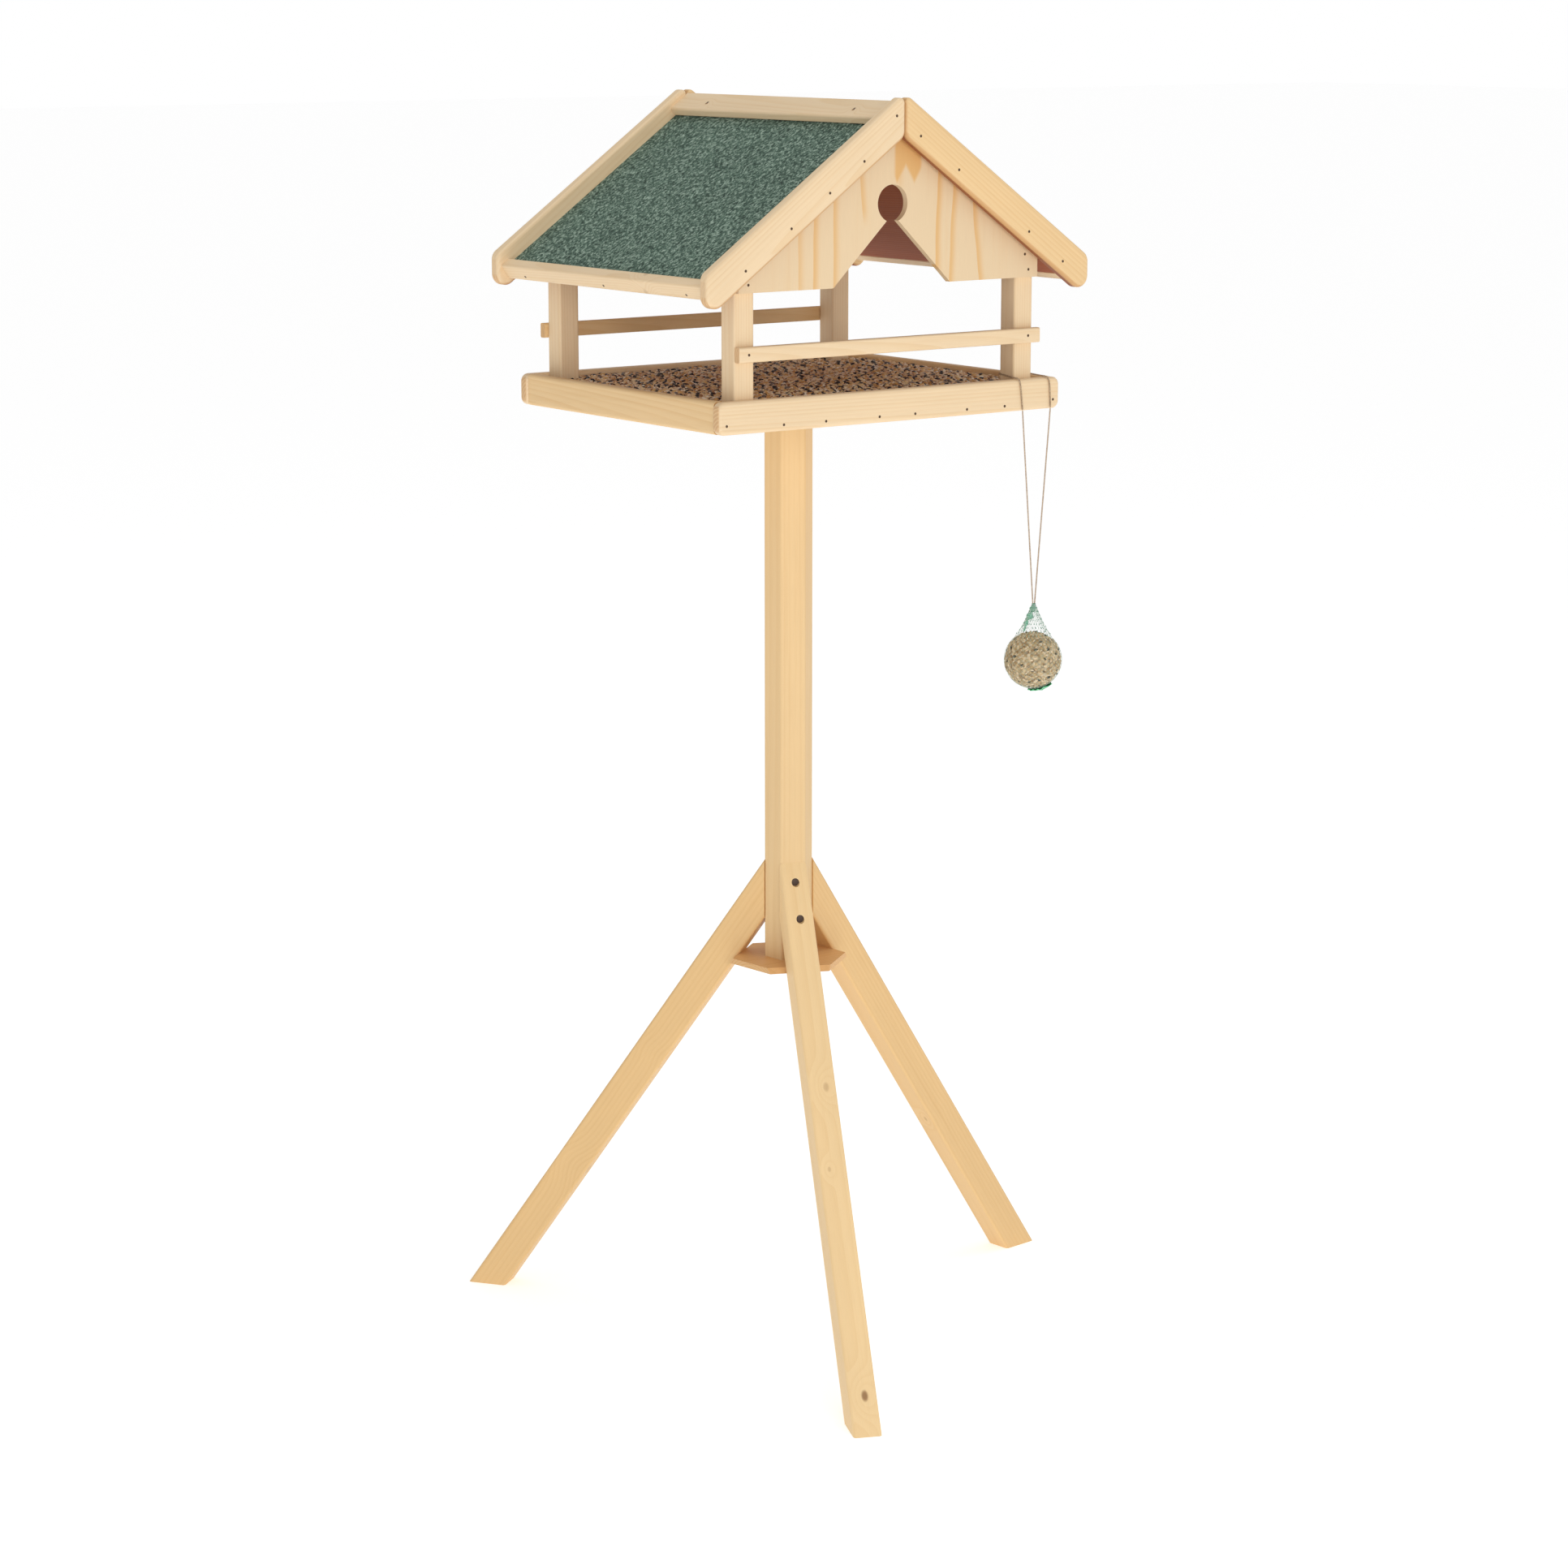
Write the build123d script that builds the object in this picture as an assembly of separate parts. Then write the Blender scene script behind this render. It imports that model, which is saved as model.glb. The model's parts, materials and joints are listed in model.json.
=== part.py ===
from build123d import *
import math
import os

# Bird feeder on a pole: a roofed feeding tray on a hexagonal pole with three splayed legs, and a fat
# ball hung from the tray on a loop of twine.
# Millimetres. The origin is on the ground under the pole's axis, +Z is up, +X runs along the front
# of the tray to the right, and +Y runs towards its back.

# Stand
POLE_LENGTH = 600.0
POLE_SIDE = 26.5  # one side of the hexagon
POLE_EDGE = 3.0  # rounding of its long edges
PLATE_TOP = 412.0  # height of the spacer plate's upper face, which the pole stands on
PLATE_THICK = 6.0
LEG_TOP = 520.0  # height at which a leg's outer face meets the pole
LEG_REACH = 378.0  # radius of a leg's toe on the ground
LEG_WIDTH = 30.0
LEG_DEPTH = 36.5
LEG_EDGE = 3.0
LEG_TURN = 24.0  # degrees from the front of the tray to the front leg, clockwise from above

# Tray
TRAY_LENGTH = 440.0
TRAY_DEPTH = 366.0
RIM_HEIGHT = 33.0
RIM_THICK = 13.0
RIM_EDGE = 4.0  # rounding of the slats' long edges
RIM_END_ROUND = 8.0  # rounding of the front and back slats' corners, seen from the front
RIM_RECESS = 2.5  # how far the side slats stand back from the ends of the front and back ones
FLOOR_THICK = 12.0
SEED_BELOW_RIM = 4.0

# Posts, rails and gables
POST_SIZE = 24.0
POST_EDGE = 2.5
POST_INSET = 28.0  # from the end of the tray to the post
RAIL_HEIGHT = 15.5
RAIL_THICK = 8.0
RAIL_LIFT = 70.0  # from the underside of the tray to the rail
RAIL_OVER = 4.0  # how far a rail runs past one of its two posts
RAIL_EDGE = 2.0
GABLE_THICK = 7.0
GABLE_LIFT = 138.5  # from the underside of the tray to the gable's lower edge
GABLE_SIDE = 21.5  # height of the gable's upright ends
HOLE_SIZE = 38.0
HOLE_LIFT = 82.0  # from the gable's lower edge to the centre of the round hole
NECK_WIDTH = 15.0  # between the hole and the notch below it
NOTCH_WIDTH = 150.0

# Roof
ROOF_PITCH = 35.0
ROOF_LENGTH = 396.0  # over the barge boards
ROOF_OVERHANG = 25.0  # from the end of the tray to the end of a barge board
PANEL_THICK = 11.0
FELT_THICK = 2.0
BARGE_THICK = 14.0
BARGE_WIDTH = 36.0
BARGE_PROUD = 17.0  # how far a barge board stands above the felt
BARGE_EDGE = 4.0
BARGE_END_ROUND = 12.0
BARGE_PEAK_ROUND = 5.5
RIDGE_WIDTH = 33.0
RIDGE_THICK = 10.0
EAVES_HEIGHT = 18.0
EAVES_THICK = 13.0
EAVES_INSET = 4.0  # from the barge board's end to the eaves batten
BATTEN_EDGE = 2.5

# Fasteners
SCREW_SHANK = 4.5
SCREW_HEAD = 8.5
SCREW_BAND = 0.6  # height of the straight band round a screw's head
SCREW_SINK = 3.0  # depth of a leg screw's head below the face of the leg
HOLE_REACH = 20.0  # how far a screw's hole is cut outwards from its head
SCREW_TIP = 6.0  # from the pole's axis to the tip of a leg screw
LEG_SCREW_HEIGHTS = (501.0, 466.0)
POLE_SCREW_LENGTH = 50.0
TRAY_SCREW_SPACING = 20.0
NAIL_SHANK = 1.4
NAIL_HEAD = 2.8
NAIL_HEAD_THICK = 0.8
NAIL_LENGTH = 22.0
SHORT_NAIL = 15.0
BARGE_NAILS = {"left": (0.28, 0.46, 0.66, 0.895), "right": (0.14, 0.35, 0.745, 0.94)}  # shares of the panel
FASTENER_GAP = 0.05  # between a fastener and the wall of its hole

# Hanging feed
TWINE = 1.6  # diameter
TWINE_OFF = 0.4  # between the twine's surface and what it passes over
BALL_SIZE = 61.0
BALL_DROP = 267.0  # from the pivot of the twine to the centre of the ball
NECK_DROP = 207.0  # from the pivot to the top of the net's neck
NECK_SIZE = 5.0
NET_GAP = 0.1
NET_THICK = 0.7
NET_KNOT = 9.0  # length of the gathered end under the ball
STRAND_BY_POST = 0.5  # from the right front post's inner side to the left strand, at the rim
STRAND_PAST_POST = 14.5  # from the post's outer side to the right strand, at the rim
STRAND_SPREAD_NECK = 2.4
PIVOT_GAP = 0.5  # from the pivot to the end of each piece of twine

# Heights and widths that follow
TRAY_BOTTOM = PLATE_TOP + POLE_LENGTH
FLOOR_TOP = TRAY_BOTTOM + FLOOR_THICK
RIM_TOP = TRAY_BOTTOM + RIM_HEIGHT
HALF_LENGTH = TRAY_LENGTH / 2
HALF_DEPTH = TRAY_DEPTH / 2
INNER_DEPTH = HALF_DEPTH - RIM_THICK  # from the centre to the front slat's inner face
INNER_LENGTH = HALF_LENGTH - RIM_RECESS - RIM_THICK
POST_OUTER = HALF_LENGTH - POST_INSET
POST_CENTRE_X = POST_OUTER - POST_SIZE / 2
POST_CENTRE_Y = INNER_DEPTH - POST_SIZE / 2
POLE_FLAT = POLE_SIDE * math.sqrt(3) / 2  # from the pole's axis to a face
SPLAY = math.atan2(LEG_REACH - POLE_FLAT, LEG_TOP)  # of a leg from the vertical
LEG_TURNS = {"front": -LEG_TURN, "right": 120 - LEG_TURN, "left": -120 - LEG_TURN}

SIN = math.sin(math.radians(ROOF_PITCH))
COS = math.cos(math.radians(ROOF_PITCH))
TAN = SIN / COS
HALF_SPAN = HALF_LENGTH + ROOF_OVERHANG
FELT_BELOW = BARGE_PROUD
PANEL_BELOW = FELT_BELOW + FELT_THICK
SOFFIT_BELOW = PANEL_BELOW + PANEL_THICK
GABLE_BOTTOM = TRAY_BOTTOM + GABLE_LIFT
RIDGE_Z = GABLE_BOTTOM + GABLE_SIDE + POST_OUTER * TAN + SOFFIT_BELOW / COS
PANEL_HALF = ROOF_LENGTH / 2 - BARGE_THICK  # from the centre to a barge board's inner face
EAVES_BELOW = SOFFIT_BELOW - EAVES_HEIGHT
EAVES_END = (HALF_SPAN - EAVES_INSET + EAVES_BELOW * SIN) / COS
PANEL_END = EAVES_END - EAVES_THICK

FAR = 2000.0  # size of the blocks that trim other pieces


def slope_point(along, below):
    """Point (x, z) of the right slope, down it from the ridge and below the barge boards' top line."""
    return along * COS - below * SIN, RIDGE_Z - along * SIN - below * COS


def ridge_point(below):
    """Point (x, z) of the plumb cut at the ridge."""
    return 0.0, RIDGE_Z - below / COS


def along_y(outline, start, end):
    """A bar along Y with this outline of (x, z) points."""
    wire = Polyline(*[(x, start, z) for x, z in outline], close=True)
    return extrude(make_face(wire), amount=end - start, dir=(0, 1, 0))


def mirrored(solid, side):
    """The solid, or its mirror image where it belongs to the other side in X."""
    return solid if side > 0 else mirror(solid, about=Plane.YZ)


def ease(solid, axis, radius):
    """Rounds all the straight edges that run along an axis."""
    return fillet(solid.edges().filter_by(axis), radius)


def ease_faces(solid, radius):
    """Rounds the edges round the front and back faces of a slat that faces along Y."""
    faces = solid.faces().filter_by(Axis.Y).sort_by(Axis.Y)
    return fillet(faces[0].edges() + faces[-1].edges(), radius)


# ---------------------------------------------------------------- stand


def pole():
    bar = extrude(RegularPolygon(POLE_SIDE, 6), amount=POLE_LENGTH)
    bar = ease(bar, Axis.Z, POLE_EDGE)
    return Pos(0, 0, PLATE_TOP) * Rot(0, 0, -LEG_TURN) * bar


def leg_plane(depth):
    """Plane in the middle of the front leg's slope, this far under its outer face, facing outwards."""
    middle_radius = (POLE_FLAT + LEG_REACH) / 2
    outward = Vector(0, -math.cos(SPLAY), math.sin(SPLAY))
    centre = Vector(0, -middle_radius, LEG_TOP / 2) - outward * depth
    return Plane(origin=centre, x_dir=(1, 0, 0), z_dir=outward)


def leg(turn):
    length = math.hypot(LEG_TOP, LEG_REACH - POLE_FLAT) + 4 * LEG_DEPTH
    bar = ease(Box(LEG_WIDTH, length, LEG_DEPTH), Axis.Y, LEG_EDGE)
    bar = leg_plane(LEG_DEPTH / 2).location * bar
    room = Pos(0, -POLE_FLAT - FAR / 2, FAR / 2) * Box(FAR, FAR, FAR)
    return Rot(0, 0, turn) * (bar & room)


def leg_face_radius(height):
    """Radius of a leg's outer face at this height."""
    return LEG_REACH - height * math.tan(SPLAY)


def spacer_plate():
    flat = LEG_REACH - LEG_DEPTH / math.cos(SPLAY) - (PLATE_TOP - PLATE_THICK) * math.tan(SPLAY)
    plate = extrude(RegularPolygon(flat, 6, major_radius=False), amount=PLATE_THICK)
    plate = Pos(0, 0, PLATE_TOP - PLATE_THICK) * plate
    inner = leg_plane(LEG_DEPTH).location * (Pos(0, 0, FAR / 2) * Box(FAR, FAR, FAR))
    for turn in (0, 120, 240):
        plate -= Rot(0, 0, turn) * inner
    return Rot(0, 0, -LEG_TURN) * plate


# ---------------------------------------------------------------- tray


def long_rim(side):
    """Front or back slat, which covers the ends of the two side slats."""
    outline = Plane.XZ * RectangleRounded(TRAY_LENGTH, RIM_HEIGHT, RIM_END_ROUND)
    slat = ease_faces(extrude(outline, amount=RIM_THICK), RIM_EDGE)
    slat = Pos(0, RIM_THICK / 2, 0) * slat
    return Pos(0, side * (HALF_DEPTH - RIM_THICK / 2), TRAY_BOTTOM + RIM_HEIGHT / 2) * slat


def side_rim(side):
    slat = ease(Box(RIM_THICK, 2 * INNER_DEPTH, RIM_HEIGHT), Axis.Y, RIM_EDGE)
    return Pos(side * (INNER_LENGTH + RIM_THICK / 2), 0, TRAY_BOTTOM + RIM_HEIGHT / 2) * slat


def tray_floor():
    return Pos(0, 0, TRAY_BOTTOM + FLOOR_THICK / 2) * Box(2 * INNER_LENGTH, 2 * INNER_DEPTH, FLOOR_THICK)


def seed_bed(posts):
    depth = RIM_HEIGHT - FLOOR_THICK - SEED_BELOW_RIM
    bed = Pos(0, 0, FLOOR_TOP + depth / 2) * Box(2 * INNER_LENGTH, 2 * INNER_DEPTH, depth)
    for post in posts:
        bed -= post
    return bed


# ---------------------------------------------------------------- posts, rails and gables


def post(side_x, side_y):
    """Square post from the tray's floor to the roof, with its top cut to the slope."""
    height = RIDGE_Z - FLOOR_TOP
    bar = ease(Box(POST_SIZE, POST_SIZE, height), Axis.Z, POST_EDGE)
    bar = Pos(POST_CENTRE_X, 0, FLOOR_TOP + height / 2) * bar
    sky = RIDGE_Z + FAR
    above = [ridge_point(SOFFIT_BELOW), slope_point(FAR, SOFFIT_BELOW), (FAR, sky), (0, sky)]
    bar -= along_y(above, -POST_SIZE, POST_SIZE)
    return mirrored(Pos(0, side_y * POST_CENTRE_Y, 0) * bar, side_x)


def rail(side):
    """Cross rail on the outer faces of two posts, a little past one of them."""
    bar = ease(Box(2 * POST_OUTER + RAIL_OVER, RAIL_THICK, RAIL_HEIGHT), Axis.X, RAIL_EDGE)
    shift = -side * RAIL_OVER / 2
    return Pos(shift, side * (INNER_DEPTH + RAIL_THICK / 2), TRAY_BOTTOM + RAIL_LIFT + RAIL_HEIGHT / 2) * bar


def gable(side):
    """Gable board on the outer faces of two posts, with a round hole over a triangular notch."""
    near = min(side * INNER_DEPTH, side * (INNER_DEPTH + GABLE_THICK))
    side_top = GABLE_BOTTOM + GABLE_SIDE
    right = [(POST_OUTER, GABLE_BOTTOM), (POST_OUTER, side_top)]
    left = [(-x, z) for x, z in reversed(right)]
    board = along_y(right + [ridge_point(SOFFIT_BELOW)] + left, near, near + GABLE_THICK)
    hole_z = GABLE_BOTTOM + HOLE_LIFT
    neck_z = hole_z - math.sqrt((HOLE_SIZE / 2) ** 2 - (NECK_WIDTH / 2) ** 2)
    notch = [
        (-NOTCH_WIDTH / 2, GABLE_BOTTOM),
        (-NECK_WIDTH / 2, neck_z),
        (-NECK_WIDTH / 2, hole_z),
        (NECK_WIDTH / 2, hole_z),
        (NECK_WIDTH / 2, neck_z),
        (NOTCH_WIDTH / 2, GABLE_BOTTOM),
    ]
    board -= along_y(notch, near, near + GABLE_THICK)
    hole = Rot(90, 0, 0) * Cylinder(HOLE_SIZE / 2, GABLE_THICK)
    return board - Pos(0, near + GABLE_THICK / 2, hole_z) * hole


# ---------------------------------------------------------------- roof


def sheet(side, top, bottom):
    """Board or felt of one slope, from the plumb cut at the ridge to the eaves batten."""
    outline = [
        ridge_point(top),
        slope_point(PANEL_END, top),
        slope_point(PANEL_END, bottom),
        ridge_point(bottom),
    ]
    return mirrored(along_y(outline, -PANEL_HALF, PANEL_HALF), side)


def ridge_batten(side):
    top = FELT_BELOW - RIDGE_THICK
    outline = [
        ridge_point(top),
        slope_point(RIDGE_WIDTH, top),
        slope_point(RIDGE_WIDTH, FELT_BELOW),
        ridge_point(FELT_BELOW),
    ]
    bar = along_y(outline, -PANEL_HALF, PANEL_HALF)
    lower = bar.edges().filter_by(Axis.Y).sort_by(Axis.X)[-2:]
    return mirrored(fillet(lower, BATTEN_EDGE), side)


def eaves_batten(side):
    outline = [
        slope_point(PANEL_END, EAVES_BELOW),
        slope_point(EAVES_END, EAVES_BELOW),
        slope_point(EAVES_END, SOFFIT_BELOW),
        slope_point(PANEL_END, SOFFIT_BELOW),
    ]
    return mirrored(ease(along_y(outline, -PANEL_HALF, PANEL_HALF), Axis.Y, BATTEN_EDGE), side)


def barge_board(side_x, side_y):
    """Slat along a gable end of the roof, cut plumb at the peak and at its lower end."""
    start = min(side_y * PANEL_HALF, side_y * (PANEL_HALF + BARGE_THICK))
    end_z = RIDGE_Z - HALF_SPAN * TAN
    corners = [
        (0, start, RIDGE_Z),
        (HALF_SPAN, start, end_z),
        (HALF_SPAN, start, end_z - BARGE_WIDTH / COS),
        (0, start, RIDGE_Z - BARGE_WIDTH / COS),
    ]
    rounds = [BARGE_PEAK_ROUND, BARGE_END_ROUND, BARGE_END_ROUND, BARGE_END_ROUND]
    outline = make_face(FilletPolyline(*corners, radius=rounds, close=True))
    slat = extrude(outline, amount=BARGE_THICK, dir=(0, 1, 0))
    return mirrored(ease_faces(slat, BARGE_EDGE), side_x)


# ---------------------------------------------------------------- hanging feed

PIVOT_Y = -HALF_DEPTH - TWINE / 2 - TWINE_OFF
PIVOT_Z = TRAY_BOTTOM + 1.0
STRAND_LEFT = POST_OUTER - POST_SIZE + STRAND_BY_POST
STRAND_RIGHT = POST_OUTER + STRAND_PAST_POST
HANG_X = (STRAND_LEFT + STRAND_RIGHT) / 2
BALL_CENTRE = Vector(HANG_X, PIVOT_Y, PIVOT_Z - BALL_DROP)
NECK_TOP = PIVOT_Z - NECK_DROP


def feed_ball():
    return Pos(BALL_CENTRE) * Sphere(BALL_SIZE / 2)


def ball_net():
    """Net drawn tight round the ball, with its twisted neck above and its gathered end below."""
    inside = BALL_SIZE / 2 + NET_GAP
    outside = inside + NET_THICK
    neck_foot = BALL_CENTRE.Z + 0.93 * outside
    neck_height = NECK_TOP - neck_foot
    knot_top = BALL_CENTRE.Z - 0.97 * outside
    net = Pos(BALL_CENTRE) * Sphere(outside)
    net += Pos(HANG_X, PIVOT_Y, neck_foot + neck_height / 2) * Cone(NECK_SIZE, NECK_SIZE / 2, neck_height)
    net += Pos(HANG_X, PIVOT_Y, knot_top - NET_KNOT / 2) * Cone(NECK_SIZE / 2, NECK_SIZE, NET_KNOT)
    return net - Pos(BALL_CENTRE) * Sphere(inside)


def strand(side):
    """One straight strand from the rim's lower edge to the neck of the net."""
    top = Vector(STRAND_LEFT if side < 0 else STRAND_RIGHT, PIVOT_Y, PIVOT_Z - PIVOT_GAP)
    foot = Vector(HANG_X + side * STRAND_SPREAD_NECK / 2, PIVOT_Y, NECK_TOP + TWINE / 8)
    run = foot - top
    return extrude(Plane(origin=top, z_dir=run) * Circle(TWINE / 2), amount=run.length)


def twine_route():
    """Points of the twine over the rim, round the back of the post and over the rim again."""
    off = TWINE / 2 + TWINE_OFF
    back = -INNER_DEPTH + POST_SIZE + off
    over = RIM_TOP + off
    return [
        Vector(STRAND_LEFT, PIVOT_Y, PIVOT_Z + PIVOT_GAP),
        Vector(STRAND_LEFT - 2.0, PIVOT_Y, over),
        Vector(POST_OUTER - POST_SIZE - off, back, over + 2.0),
        Vector(POST_OUTER + off, back, over + 3.0),
        Vector(STRAND_RIGHT - 0.5, PIVOT_Y, over),
        Vector(STRAND_RIGHT, PIVOT_Y, PIVOT_Z + PIVOT_GAP),
    ]


def twine_wrap():
    edges = (RIM_EDGE, POST_EDGE, POST_EDGE, RIM_EDGE)  # the rounded edges that the twine turns over
    radii = [edge + TWINE / 2 + TWINE_OFF for edge in edges]
    path = FilletPolyline(*twine_route(), radius=radii)
    print("twine radii", radii, "length", round(path.length, 1))
    tube = sweep(Plane(origin=path @ 0, z_dir=path % 0) * Circle(TWINE / 2), path=path)
    section = math.pi * (TWINE / 2) ** 2
    print("twine volume over section times length", round(tube.volume / (section * path.length), 4))
    return tube


# ---------------------------------------------------------------- fasteners


def turned(profile, head, inward):
    """Solid of revolution of (radius, depth) points about an inward axis from the head's centre."""
    face = make_face(Polyline(*[(radius, 0, depth) for radius, depth in profile], close=True))
    return Plane(origin=head, z_dir=inward).location * revolve(face, Axis.Z)


def screw(head, inward, length, gap=0.0):
    """Countersunk screw with its head's flat at a point, or the hole for it where a gap is given."""
    wide = SCREW_HEAD / 2 + gap
    slim = SCREW_SHANK / 2 + gap
    top = -HOLE_REACH if gap else 0.0
    profile = [
        (0, top),
        (wide, top),
        (wide, SCREW_BAND),
        (slim, SCREW_BAND + wide - slim),
        (slim, length + gap),
        (0, length + gap),
    ]
    return turned(profile, head, inward)


def nail(head, inward, length, gap=0.0):
    """Nail with its head's flat at a point, or the hole for it where a gap is given."""
    wide = NAIL_HEAD / 2 + gap
    slim = NAIL_SHANK / 2 + gap
    top = -NAIL_HEAD if gap else 0.0
    profile = [
        (0, top),
        (wide, top),
        (wide, NAIL_HEAD_THICK + gap),
        (slim, NAIL_HEAD_THICK + gap),
        (slim, length + gap),
        (0, length + gap),
    ]
    return turned(profile, head, inward)


def leg_screw_places():
    places = []
    for name, turn in LEG_TURNS.items():
        for height in LEG_SCREW_HEIGHTS:
            radius = leg_face_radius(height) - SCREW_SINK
            angle = math.radians(turn)
            outward = Vector(math.sin(angle), -math.cos(angle), 0)
            head = outward * radius + Vector(0, 0, height)
            places.append((head, outward * -1, radius - SCREW_TIP, ("pole", f"leg_{name}")))
    return places


def tray_screw_places():
    half = TRAY_SCREW_SPACING / 2
    return [
        (Vector(x, 0, FLOOR_TOP), Vector(0, 0, -1), POLE_SCREW_LENGTH, ("tray_floor", "pole"))
        for x in (-half, half)
    ]


def plate_screw_places():
    head = Vector(0, 0, PLATE_TOP - PLATE_THICK)
    return [(head, Vector(0, 0, 1), POLE_SCREW_LENGTH / 2, ("spacer_plate", "pole"))]


def rim_nail_places():
    """Brads through the long slats into the floor and into the ends of the side ones."""
    places = []
    low = TRAY_BOTTOM + FLOOR_THICK / 2 + 0.5
    corner = INNER_LENGTH + RIM_THICK / 2
    for side, name in ((-1, "front"), (1, "back")):
        inward = Vector(0, -side, 0)
        for share in (-0.64, -0.4, -0.09, 0.12, 0.43, 0.66):
            head = Vector(share * HALF_LENGTH, side * HALF_DEPTH, low)
            places.append((head, inward, NAIL_LENGTH, (f"rim_{name}", "tray_floor")))
        for x, rim in ((-corner, "rim_left"), (corner, "rim_right")):
            head = Vector(x, side * HALF_DEPTH, low + 3.0)
            places.append((head, inward, NAIL_LENGTH, (f"rim_{name}", rim)))
    return places


def post_name(side_x, side_y):
    return f"post_{'front' if side_y < 0 else 'back'}_{'left' if side_x < 0 else 'right'}"


def rail_nail_places():
    places = []
    height = TRAY_BOTTOM + RAIL_LIFT + RAIL_HEIGHT / 2
    for side_y, name in ((-1, "front"), (1, "back")):
        for side_x in (-1, 1):
            head = Vector(side_x * POST_CENTRE_X, side_y * (INNER_DEPTH + RAIL_THICK), height)
            pieces = (f"rail_{name}", post_name(side_x, side_y))
            places.append((head, Vector(0, -side_y, 0), SHORT_NAIL, pieces))
    return places


def gable_nail_places():
    """Two nails into each post, one low and one higher and further in."""
    places = []
    for side_y, name in ((-1, "front"), (1, "back")):
        for side_x in (-1, 1):
            for x, lift in ((POST_CENTRE_X, 8.0), (POST_CENTRE_X - 5.0, 24.0)):
                head = Vector(side_x * x, side_y * (INNER_DEPTH + GABLE_THICK), GABLE_BOTTOM + lift)
                pieces = (f"gable_{name}", post_name(side_x, side_y))
                places.append((head, Vector(0, -side_y, 0), SHORT_NAIL, pieces))
    return places


def barge_nail_places():
    """Nails through each barge board into the roof panel's edge, and one into the left ridge batten."""
    places = []
    panel_middle = (PANEL_BELOW + SOFFIT_BELOW) / 2
    batten_x, batten_z = slope_point(RIDGE_WIDTH / 2 + 6.0, FELT_BELOW - RIDGE_THICK / 2)
    for side_y, end in ((-1, "front"), (1, "back")):
        face = side_y * ROOF_LENGTH / 2
        inward = Vector(0, -side_y, 0)
        for side_x, hand in ((-1, "left"), (1, "right")):
            for share in BARGE_NAILS[hand]:
                x, z = slope_point(share * PANEL_END, panel_middle)
                pieces = (f"barge_{end}_{hand}", f"roof_panel_{hand}")
                places.append((Vector(side_x * x, face, z), inward, NAIL_LENGTH, pieces))
        pieces = (f"barge_{end}_left", "ridge_batten_left")
        places.append((Vector(-batten_x, face, batten_z), inward, NAIL_LENGTH, pieces))
    return places


def ridge_nail_places():
    places = []
    for side, hand in ((-1, "left"), (1, "right")):
        x, z = slope_point(RIDGE_WIDTH * 0.6, FELT_BELOW - RIDGE_THICK)
        for share in (-0.7, 0.7):
            head = Vector(side * x, share * PANEL_HALF, z)
            pieces = (f"ridge_batten_{hand}", f"roof_felt_{hand}", f"roof_panel_{hand}")
            places.append((head, Vector(-side * SIN, 0, -COS), SHORT_NAIL, pieces))
    return places


def eaves_nail_places():
    places = []
    middle = (PANEL_BELOW + SOFFIT_BELOW) / 2
    for side, hand in ((-1, "left"), (1, "right")):
        x, z = slope_point(EAVES_END, middle)
        for share in (-0.8, 0.0, 0.8):
            head = Vector(side * x, share * PANEL_HALF, z)
            pieces = (f"eaves_batten_{hand}", f"roof_panel_{hand}")
            places.append((head, Vector(-side * COS, 0, SIN), NAIL_LENGTH, pieces))
    return places


def fasten(parts, name, make, places):
    """Adds a node of fasteners and cuts the hole for each one through the pieces that it joins."""
    parts[name] = Compound(children=[make(head, inward, length) for head, inward, length, _ in places])
    for head, inward, length, pieces in places:
        hole = make(head, inward, length, FASTENER_GAP)
        for piece in pieces:
            parts[piece] -= hole


# ---------------------------------------------------------------- whole object


def build():
    parts = {"pole": pole(), "spacer_plate": spacer_plate()}
    for name, turn in LEG_TURNS.items():
        parts[f"leg_{name}"] = leg(turn)
    parts["tray_floor"] = tray_floor()
    for side, end, hand in ((-1, "front", "left"), (1, "back", "right")):
        parts[f"rim_{end}"] = long_rim(side)
        parts[f"rim_{hand}"] = side_rim(side)
        parts[f"rail_{end}"] = rail(side)
        parts[f"gable_{end}"] = gable(side)
        parts[f"roof_panel_{hand}"] = sheet(side, PANEL_BELOW, SOFFIT_BELOW)
        parts[f"roof_felt_{hand}"] = sheet(side, FELT_BELOW, PANEL_BELOW)
        parts[f"ridge_batten_{hand}"] = ridge_batten(side)
        parts[f"eaves_batten_{hand}"] = eaves_batten(side)
    for side_y, end in ((-1, "front"), (1, "back")):
        for side_x, hand in ((-1, "left"), (1, "right")):
            parts[f"post_{end}_{hand}"] = post(side_x, side_y)
            parts[f"barge_{end}_{hand}"] = barge_board(side_x, side_y)
    parts["seed_bed"] = seed_bed([solid for name, solid in parts.items() if name.startswith("post_")])

    fasten(parts, "leg_screws", screw, leg_screw_places())
    fasten(parts, "tray_screws", screw, tray_screw_places())
    fasten(parts, "plate_screw", screw, plate_screw_places())
    fasten(parts, "rim_nails", nail, rim_nail_places())
    fasten(parts, "rail_nails", nail, rail_nail_places())
    fasten(parts, "gable_nails", nail, gable_nail_places())
    fasten(parts, "barge_nails", nail, barge_nail_places())
    fasten(parts, "ridge_nails", nail, ridge_nail_places())
    fasten(parts, "eaves_nails", nail, eaves_nail_places())

    parts["twine_wrap"] = twine_wrap()
    parts["twine_left"] = strand(-1)
    parts["twine_right"] = strand(1)
    parts["ball_net"] = ball_net()
    parts["feed_ball"] = feed_ball()
    return parts


os.makedirs("parts", exist_ok=True)
for node, solid in build().items():
    export_step(solid, f"parts/{node}.step")
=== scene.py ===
import json
import math

import bpy
from mathutils import Euler, Matrix, Vector, noise

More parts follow.
